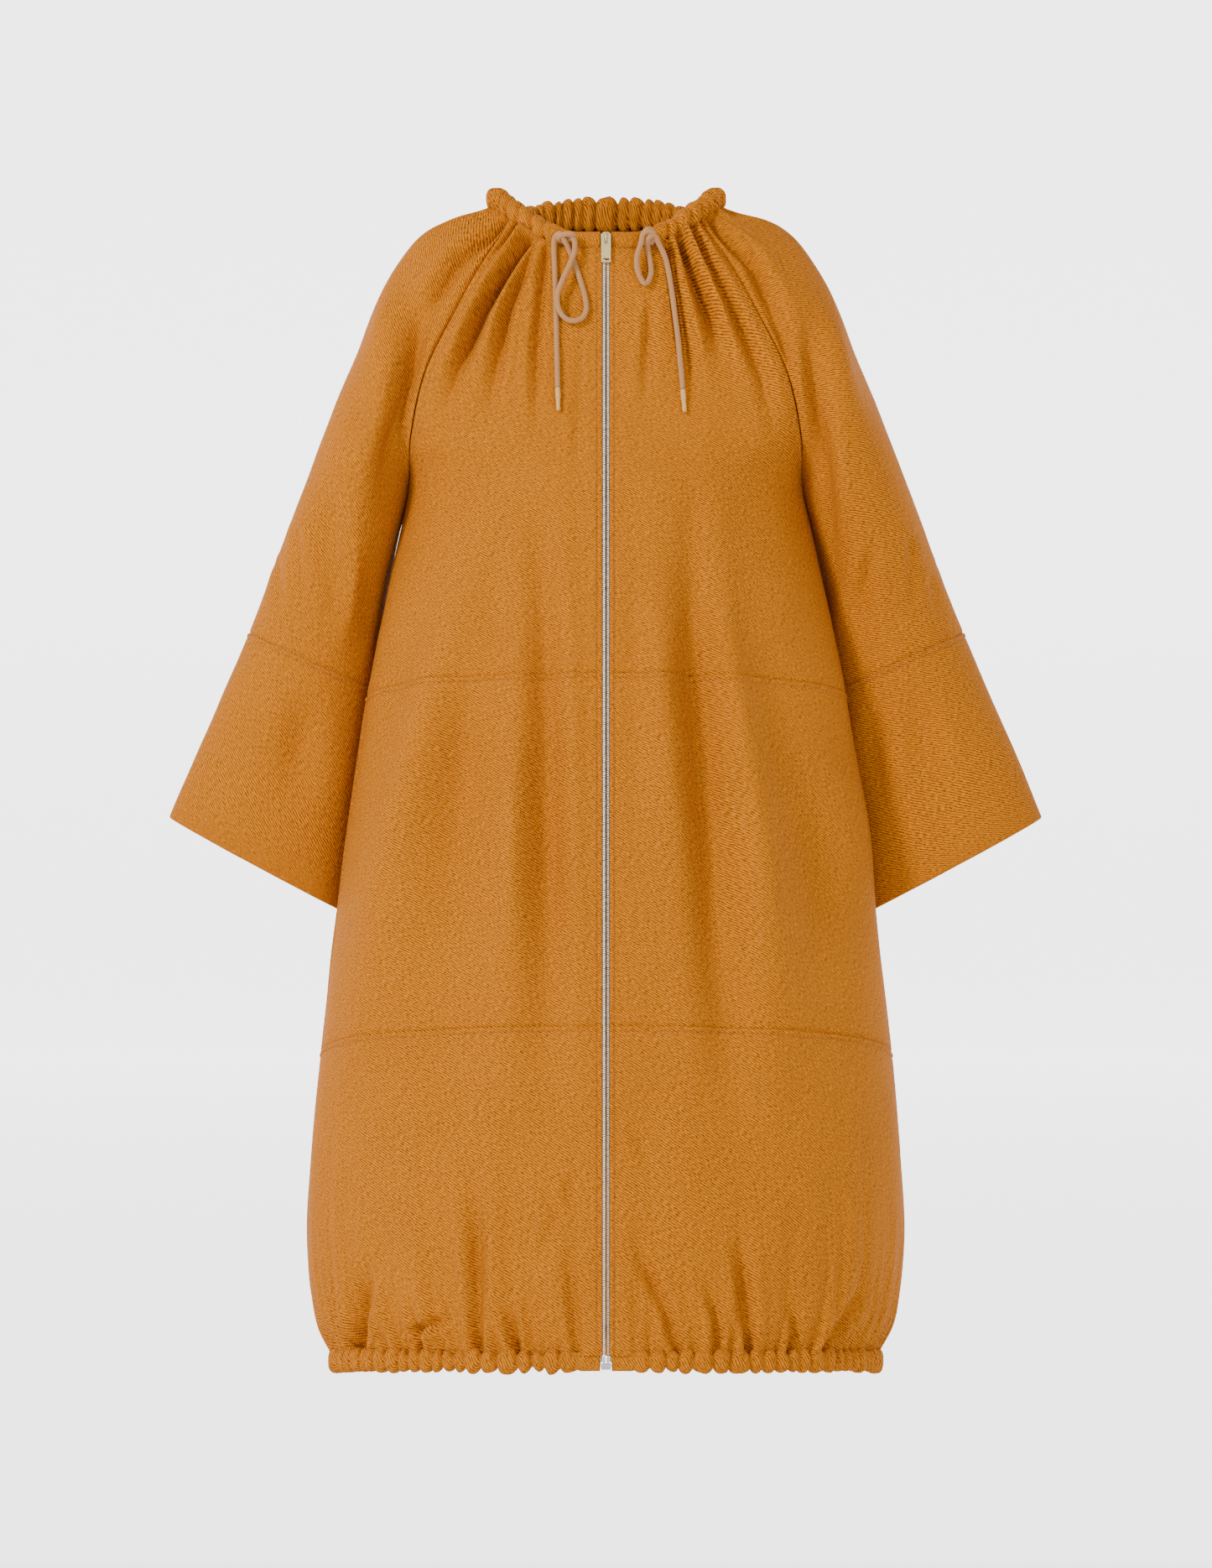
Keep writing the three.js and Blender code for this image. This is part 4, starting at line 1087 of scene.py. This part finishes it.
def casing_piece(name, row, upward, height, depth, edge, valley_of, seed):
    """A gathered tube of cloth: full between its pleats and pinched at them."""
    line, out, place, sign, run = ring_points(row, edge, 1.25)
    valley = valley_of(place, sign)
    random = np.random.default_rng(seed)
    waves = sum(np.sin(2 * math.pi * run / length + random.uniform(0, 6)) * size
                for length, size in ((23, 0.5), (41, 0.6), (13, 0.3)))
    calm = smooth((place - (30 if row == 0 else 12)) / 30)
    angle = np.linspace(0, 2 * math.pi, 29)
    corner = 0.72
    across = np.sign(np.cos(angle)) * np.abs(np.cos(angle)) ** corner
    up = np.sign(np.sin(angle)) * np.abs(np.sin(angle)) ** corner
    full = FLAT_CASING + (2.4 - FLAT_CASING - 1.7 * valley) * calm
    tall = 1 + (0.42 - 0.95 * valley + 0.1 * waves) * calm
    slant = 1.2 * waves[:, None] * calm[:, None] * np.sin(angle)
    thick = (depth / 2 + 0.2) * full[:, None] * across
    stand = upward * (height / 2 + 0.3) + (height / 2 + 0.6) * tall[:, None] * up
    turned_in = smooth((place - 170) / 60)[:, None] * smooth(-up * upward) * (row == 0)
    stand = stand - BACK_TURNING * turned_in
    thick = np.where(thick > 0, thick * (1 - 0.9 * turned_in), thick)
    crumple = 0.5 * np.sin(run[:, None] * 0.9 + angle * 3) * calm[:, None] * (1 - valley[:, None])
    inward = depth / 2 - thick - crumple
    points = (line[:, None] - out[:, None] * inward[..., None]
              + np.array([0, 0, 1]) * stand[..., None])
    tangent = np.gradient(line, axis=0)
    tangent /= np.linalg.norm(tangent, axis=1, keepdims=True)
    points = points + tangent[:, None] * slant[..., None]
    uvs = stack(np.broadcast_to(run[:, None] * 1.5, points.shape[:2]),
                np.broadcast_to(angle * 7, points.shape[:2]))
    piece = grid_piece(name, points, uvs, merge=True)
    bm = bmesh.new()
    bm.from_mesh(piece.data)
    bmesh.ops.holes_fill(bm, edges=[e for e in bm.edges if e.is_boundary], sides=0)
    bmesh.ops.recalc_face_normals(bm, faces=bm.faces)
    bm.to_mesh(piece.data)
    bm.free()
    return piece


def hem_pleats(value):
    both = list(HEM_PLEATS[-1, value])
    return both + [(2 * HALF_HEM - at, strength, reach)
                   for at, strength, reach in HEM_PLEATS[1, value]]


neck = casing_piece("neck_casing_cloth", 0, 1, CASING_HEIGHT, CASING_DEPTH, CASING_EDGE,
                    lambda place, sign: pleat_valleys(place, sign, lambda v: NECK_PLEATS[v], 2.3),
                    31)
hem = casing_piece("hem_casing_cloth", HEM, -1, HEM_HEIGHT, HEM_DEPTH, CASING_EDGE,
                   lambda place, sign: pleat_valleys(place, sign, hem_pleats, 2.6), 32)
for piece, node_name in ((neck, "neck_casing"), (hem, "hem_casing")):
    finish_with(piece, TWILL, "twill")
    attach(piece, "coat")
    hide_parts(node_name)

# ---- Zip ----------------------------------------------------------------------------

CHAIN_FRONT, CHAIN_THICKNESS, CHAIN_HALF, SLOT_HALF = 0.9, 2.6, 2.85, 0.6
TOOTH_PITCH = 1.8
STOP_START, STOP_LENGTH, RUN = 0.4, 2.0, 0.3
BOX_HEIGHT, PIN_LENGTH = 6.0, 6.0
PINS_START = ZIP_LENGTH - BOX_HEIGHT - RUN - PIN_LENGTH
ZIP_FRAME = (Matrix.Translation(Vector((0, ZIP_TOP[0], ZIP_TOP[1])))
             @ Matrix.Rotation(-ZIP_LEAN, 4, "X"))   # x across, y into the coat, -z down it


def zip_block(bm, x0, x1, y0, y1, down0, down1, bevel=0.0, inner_taper=1.0):
    """A box in the zip's own frame, with worn edges and perhaps a slimmer inner end."""
    made = bmesh.ops.create_cube(bm, size=1)["verts"]
    for vertex in made:
        x, y, z = vertex.co
        slim = inner_taper if x * (x0 + x1) < 0 else 1.0
        vertex.co = ((x0 + x1) / 2 + x * (x1 - x0), (y0 + y1) / 2 + y * (y1 - y0) * slim,
                     -(down0 + down1) / 2 + z * (down1 - down0) * slim)
    if bevel:
        edges = {e for v in made for e in v.link_edges}
        bmesh.ops.bevel(bm, geom=list(edges), offset=bevel, segments=1, profile=0.5,
                        affect="EDGES", material=-1)


def into_zip_frame(name, bm, smooth_faces=False):
    bmesh.ops.transform(bm, matrix=Matrix.Scale(MM, 4) @ ZIP_FRAME, verts=bm.verts)
    return from_bmesh(name, bm, smooth_faces)


def zip_teeth(name, sign):
    bm = bmesh.new()
    start = STOP_START + STOP_LENGTH + RUN + (0 if sign < 0 else TOOTH_PITCH / 2)
    inner, outer = sorted((sign * SLOT_HALF, sign * CHAIN_HALF))
    for i in range(int((PINS_START - RUN - start) / TOOTH_PITCH)):
        down = start + i * TOOTH_PITCH
        zip_block(bm, inner, outer, CHAIN_FRONT, CHAIN_FRONT + CHAIN_THICKNESS, down,
                  down + 1.15, inner_taper=0.72)
    return into_zip_frame(name, bm)


for side_name, sign in (("left", 1), ("right", -1)):
    teeth = finish_with(zip_teeth(f"teeth_{side_name}", sign), TOOTH_METAL, "zip_teeth")
    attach(teeth, "coat")
    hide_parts(f"zip_teeth_{side_name}")


def flat_outline(corners, radius, arc=5):
    """A closed outline with its corners rounded."""
    places = []
    for i, corner in enumerate(corners):
        p = Vector(corner)
        before, after = Vector(corners[i - 1]) - p, Vector(corners[(i + 1) % len(corners)]) - p
        r = min(radius, before.length / 2.2, after.length / 2.2)
        a, b = p + before.normalized() * r, p + after.normalized() * r
        for k in range(arc + 1):
            t = k / arc
            places.append(a * (1 - t) ** 2 + p * 2 * t * (1 - t) + b * t ** 2)
    return places


def plate(name, outlines, front, back, bevel):
    """A stamped plate in the zip's frame: the first outline less the others, as holes."""
    curve = bpy.data.curves.new(name, "CURVE")
    curve.dimensions = "2D"
    curve.fill_mode = "BOTH"
    for outline in outlines:
        spline = curve.splines.new("POLY")
        spline.points.add(len(outline) - 1)
        for point, place in zip(spline.points, outline):
            point.co = (place.x, place.y, 0, 1)
        spline.use_cyclic_u = True
    curve.extrude = (back - front) / 2 - bevel
    curve.bevel_depth = bevel
    curve.bevel_resolution = 2
    curve.offset = -bevel
    maker = bpy.data.objects.new(name, curve)
    scene.collection.objects.link(maker)
    bpy.context.view_layer.update()
    shape = bpy.data.meshes.new_from_object(maker.evaluated_get(
        bpy.context.evaluated_depsgraph_get()))
    bpy.data.objects.remove(maker)
    bm = bmesh.new()
    bm.from_mesh(shape)
    bmesh.ops.remove_doubles(bm, verts=bm.verts, dist=1e-5)
    bmesh.ops.transform(bm, matrix=Matrix(((1, 0, 0, 0), (0, 0, 1, (front + back) / 2),
                                           (0, 1, 0, 0), (0, 0, 0, 1))), verts=bm.verts)
    bmesh.ops.recalc_face_normals(bm, faces=bm.faces)
    return bm


def join_bmeshes(first, *others):
    for other in others:
        mesh = bpy.data.meshes.new("joined")
        other.to_mesh(mesh)
        other.free()
        first.from_mesh(mesh)
    return first


SLIDER_LENGTH, SLIDER_HALF, SLIDER_PLATE = 11.3, 4.8, 1.3
slider_outline = flat_outline(((-2.6, 0), (2.6, 0), (SLIDER_HALF, -2.2), (SLIDER_HALF, -5.2),
                               (3.9, -SLIDER_LENGTH), (-3.9, -SLIDER_LENGTH),
                               (-SLIDER_HALF, -5.2), (-SLIDER_HALF, -2.2)), 1.6)
front_face = -RUN
back_face = CHAIN_FRONT + CHAIN_THICKNESS + RUN
slider = join_bmeshes(
    plate("slider_front", [slider_outline], front_face - SLIDER_PLATE, front_face, 0.25),
    plate("slider_back", [slider_outline], back_face, back_face + SLIDER_PLATE, 0.25))
zip_block(slider, -RUN, RUN, front_face - 0.1, back_face + 0.1, 0.4, 4.0)
slider = finish_with(into_zip_frame("slider_shell", slider, True), ENAMEL, "slider")
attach(slider, "zip_slider")
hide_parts("slider_body")

BRIDGE_HALF, BRIDGE_START, BRIDGE_END = 1.0, 0.8, 10.3
bridge_base = front_face - SLIDER_PLATE - RUN
bridge = bmesh.new()
crown = bmesh.ops.create_grid(bridge, x_segments=2, y_segments=24, size=0.5)["verts"]
for vertex in crown:
    t = vertex.co.y + 0.5
    rise = 2.4 * (1 - (2 * t - 1) ** 4) + 0.35 * (1 - (2 * vertex.co.x) ** 2)
    vertex.co = (vertex.co.x * 2 * BRIDGE_HALF, bridge_base + 0.5 - rise,
                 -(BRIDGE_START + t * (BRIDGE_END - BRIDGE_START)))
bmesh.ops.recalc_face_normals(bridge, faces=bridge.faces)
bmesh.ops.solidify(bridge, geom=bridge.faces[:], thickness=0.9)
bmesh.ops.recalc_face_normals(bridge, faces=bridge.faces)
bridge = finish_with(into_zip_frame("slider_crown", bridge, True), ENAMEL, "slider")
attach(bridge, "zip_slider")
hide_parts("slider_bridge")

PULL_AXIS, PULL_LIFT, PULL_LENGTH, PULL_HALF, PULL_THICKNESS = 4.5, 1.1, 25.5, 4.6, 1.2
WINDOW = (1.6, 0.6, 7.5)               # half width, and top and bottom below the axis
GRIP_SLOT = (3.1, 21.6, 23.6)
RIM_WIDTH, RIM_PROUD = 0.8, 0.25


def pull_outline(half, top, bottom, radius):
    top, bottom = -PULL_AXIS - top, -PULL_AXIS - bottom
    return flat_outline(((-half, top), (half, top), (half, bottom), (-half, bottom)), radius)


pull_front = front_face - SLIDER_PLATE - PULL_LIFT - PULL_THICKNESS / 2
tab_edge = pull_outline(PULL_HALF, -PULL_THICKNESS / 2, PULL_LENGTH, 1.3)
tab_inner = pull_outline(PULL_HALF - RIM_WIDTH, RIM_WIDTH - PULL_THICKNESS / 2,
                         PULL_LENGTH - RIM_WIDTH, 0.9)
window_edge = pull_outline(WINDOW[0] + 0.55, 0.6, WINDOW[2] + 0.55, 0.5)
holes = [pull_outline(*WINDOW, 0.4), pull_outline(*GRIP_SLOT, 0.4)]
tab = join_bmeshes(
    plate("tab", [tab_edge] + holes, pull_front, pull_front + PULL_THICKNESS, 0.2),
    plate("rim", [tab_edge, tab_inner], pull_front - RIM_PROUD, pull_front + 0.4, 0.15),
    plate("window_rim", [window_edge, holes[0]], pull_front - RIM_PROUD, pull_front + 0.4, 0.1))
tab = finish_with(into_zip_frame("pull_tab_stamped", tab, True), ENAMEL, "slider")
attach(tab, "pull")
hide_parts("pull_tab")


def metal_block(name, node_name, slot, material, bevel, *extent):
    bm = bmesh.new()
    zip_block(bm, *extent, bevel=bevel)
    piece = finish_with(into_zip_frame(name, bm), material, slot)
    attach(piece, "coat")
    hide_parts(node_name)


chain_depth = (CHAIN_FRONT, CHAIN_FRONT + CHAIN_THICKNESS)
for side_name, sign in (("left", 1), ("right", -1)):
    across = sorted((sign * SLOT_HALF, sign * CHAIN_HALF))
    metal_block(f"top_stop_{side_name}", f"zip_top_stop_{side_name}", "zip_teeth", TOOTH_METAL,
                0.35, *across, *chain_depth, STOP_START, STOP_START + STOP_LENGTH)
    metal_block("box_pin" if sign > 0 else "insertion_pin",
                "zip_box_pin" if sign > 0 else "zip_insertion_pin", "zip_box", BOX_METAL,
                0.3, *across, *chain_depth, PINS_START, PINS_START + PIN_LENGTH)
metal_block("retainer_box", "zip_retainer_box", "zip_box", BOX_METAL, 0.6, -4.4, 4.4, 0.5, 4.1,
            ZIP_LENGTH - BOX_HEIGHT, ZIP_LENGTH)

# ---- Topstitching -------------------------------------------------------------------

STITCH_PITCH, STITCH_LENGTH, THREAD = 3.1, 2.3, 0.62


def stitch_row(bm, line, outward):
    """Short thread stitches along a line of places, each half sunk in the cloth."""
    run = np.concatenate([[0], np.cumsum(np.linalg.norm(np.diff(line, axis=0), axis=1))])
    for start in np.arange(STITCH_PITCH, run[-1] - STITCH_PITCH, STITCH_PITCH):
        ends = [Vector([np.interp(start + end, run, line[:, i]) for i in range(3)])
                for end in (0, STITCH_LENGTH)]
        out = Vector([np.interp(start, run, outward[:, i]) for i in range(3)]).normalized()
        along = (ends[1] - ends[0]).normalized()
        side = along.cross(out).normalized()
        turn = Matrix((side, along, side.cross(along))).transposed().to_4x4()
        middle = (ends[0] + ends[1]) / 2 + out * 0.12
        made = bmesh.ops.create_cube(bm, size=1)["verts"]
        for vertex in made:
            x, y, z = vertex.co
            sunk = 1.0 if z > 0 else 0.6
            vertex.co = (x * THREAD * sunk, y * STITCH_LENGTH * (0.8 if z > 0 else 1), z * THREAD)
        bmesh.ops.transform(bm, matrix=Matrix.Translation(middle) @ turn, verts=made)


def stitches(name, body, lines):
    bm = bmesh.new()
    for line, outward in lines:
        stitch_row(bm, np.asarray(line), np.asarray(outward))
    bmesh.ops.scale(bm, vec=(MM, MM, MM), verts=bm.verts)
    piece = finish_with(from_bmesh(name, bm), THREAD_FINISH, "twill")
    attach(piece, body)


def panel_line(side, sign, tier, depth, across):
    """A line of places on a body panel's cloth, from its depth and "across" values."""
    _, seam_top, seam_bottom = TIERS[tier]
    return body_place(side, sign, seam_top, seam_bottom)(depth, across)


front_lines, tier_lines, raglan_lines, casing_lines = [], [], [], []
for sign in (1, -1):
    for tier, (_, seam_top, seam_bottom) in enumerate(TIERS):
        top, bottom = (-BODY["z"][seam] for seam in (seam_top, seam_bottom))
        depth = np.arange(top + 0.5, bottom - 0.5, 1.5)
        front_lines.append(panel_line(-1, sign, tier, depth, across_at(row_at(depth), TOPSTITCH)))
        for side in (-1, 1):
            if tier:
                across = np.linspace(0.03 if side < 0 else 0, 1, 260)
                tier_lines.append(panel_line(side, sign, tier, top + SEAM_STITCH, across))
    for side in (-1, 1):
        depth = np.arange(8.0, -BODY["z"][UNDERARM] - 20, 1.5)
        lap = 1 - LAP_STITCH / body_edge(row_at(depth), side)[..., 0]
        raglan_lines.append(panel_line(side, sign, 0, depth, lap))
        across = np.linspace(0.05 if side < 0 else 0, 1, 260)
        casing_lines.append(panel_line(side, sign, 0, 1.6 - BODY["z"][0], across))
        casing_lines.append(panel_line(side, sign, 2, -1.6 - BODY["z"][HEM], across))
stitches("front_edge_topstitch", "coat", front_lines)
stitches("tier_seam_topstitch", "coat", tier_lines)
stitches("raglan_topstitch", "coat", raglan_lines)
stitches("casing_topstitch", "coat", casing_lines)
for side_name, sign in (("left", 1), ("right", -1)):
    turn = np.linspace(-0.99, 0.99, 300)
    place = sleeve_place(sign, False)
    elbow = SLEEVE_LENGTH_AT[ELBOW]
    stitches(f"elbow_topstitch_{side_name}", f"{side_name}_sleeve",
             [place(elbow + down, turn) for down in (1.8, SEAM_STITCH)])

# ---- Floor and light ------------------------------------------------------------

FLOOR_Z, FLOOR_RADIUS, WALL_BEND, WALL_HEIGHT = -1.62, 14.0, 2.0, 14.0
backdrop = bmesh.new()
rim = [backdrop.verts.new((0, 0, FLOOR_Z)), backdrop.verts.new((FLOOR_RADIUS, 0, FLOOR_Z))]
for k in range(1, 13):
    bend = k / 12 * math.pi / 2
    rim.append(backdrop.verts.new((FLOOR_RADIUS + WALL_BEND * math.sin(bend), 0,
                                   FLOOR_Z + WALL_BEND * (1 - math.cos(bend)))))
rim.append(backdrop.verts.new((FLOOR_RADIUS + WALL_BEND, 0, FLOOR_Z + WALL_HEIGHT)))
profile = [backdrop.edges.new(pair) for pair in zip(rim[:-1], rim[1:])]
bmesh.ops.spin(backdrop, geom=rim + profile, cent=(0, 0, 0), axis=(0, 0, 1),
               angle=2 * math.pi, steps=96, use_merge=True)
bmesh.ops.remove_doubles(backdrop, verts=backdrop.verts, dist=1e-4)
bmesh.ops.recalc_face_normals(backdrop, faces=backdrop.faces)
paper = from_bmesh("backdrop", backdrop)
paper.data.materials.append(glowing_paper())


def soft_light(name, place, aim, size, power):
    data = bpy.data.lights.new(name, "AREA")
    data.shape = "RECTANGLE"
    data.size, data.size_y = size
    data.energy = power
    lamp = bpy.data.objects.new(name, data)
    lamp.location = place
    lamp.rotation_euler = (Vector(aim) - Vector(place)).to_track_quat("-Z", "Y").to_euler()
    scene.collection.objects.link(lamp)


soft_light("key", (-2.6, -2.8, 1.5), (0, 0, -0.5), (0.7, 0.9), 168)
soft_light("fill", (1.4, -3.8, 0.2), (0, 0, -0.5), (1.2, 2.0), 50)
soft_light("top", (0, -0.4, 2.6), (0, 0, -0.4), (2.0, 1.4), 10)
world = bpy.data.worlds.new("studio")
world.use_nodes = True
world.node_tree.nodes["Background"].inputs["Color"].default_value = (1, 1, 1, 1)
world.node_tree.nodes["Background"].inputs["Strength"].default_value = 0.1
scene.world = world

# ---- Carried-over pieces ------------------------------------------------------------

for node_name, material, slot in (
        ("zip_tape_left", TAPE, "zip_tape"), ("zip_tape_right", TAPE, "zip_tape"),
        ("hem_elastic", ELASTIC, "elastic"), ("drawcord_in_casing", CORD, "cord")):
    finish_with(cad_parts[node_name], material, slot)
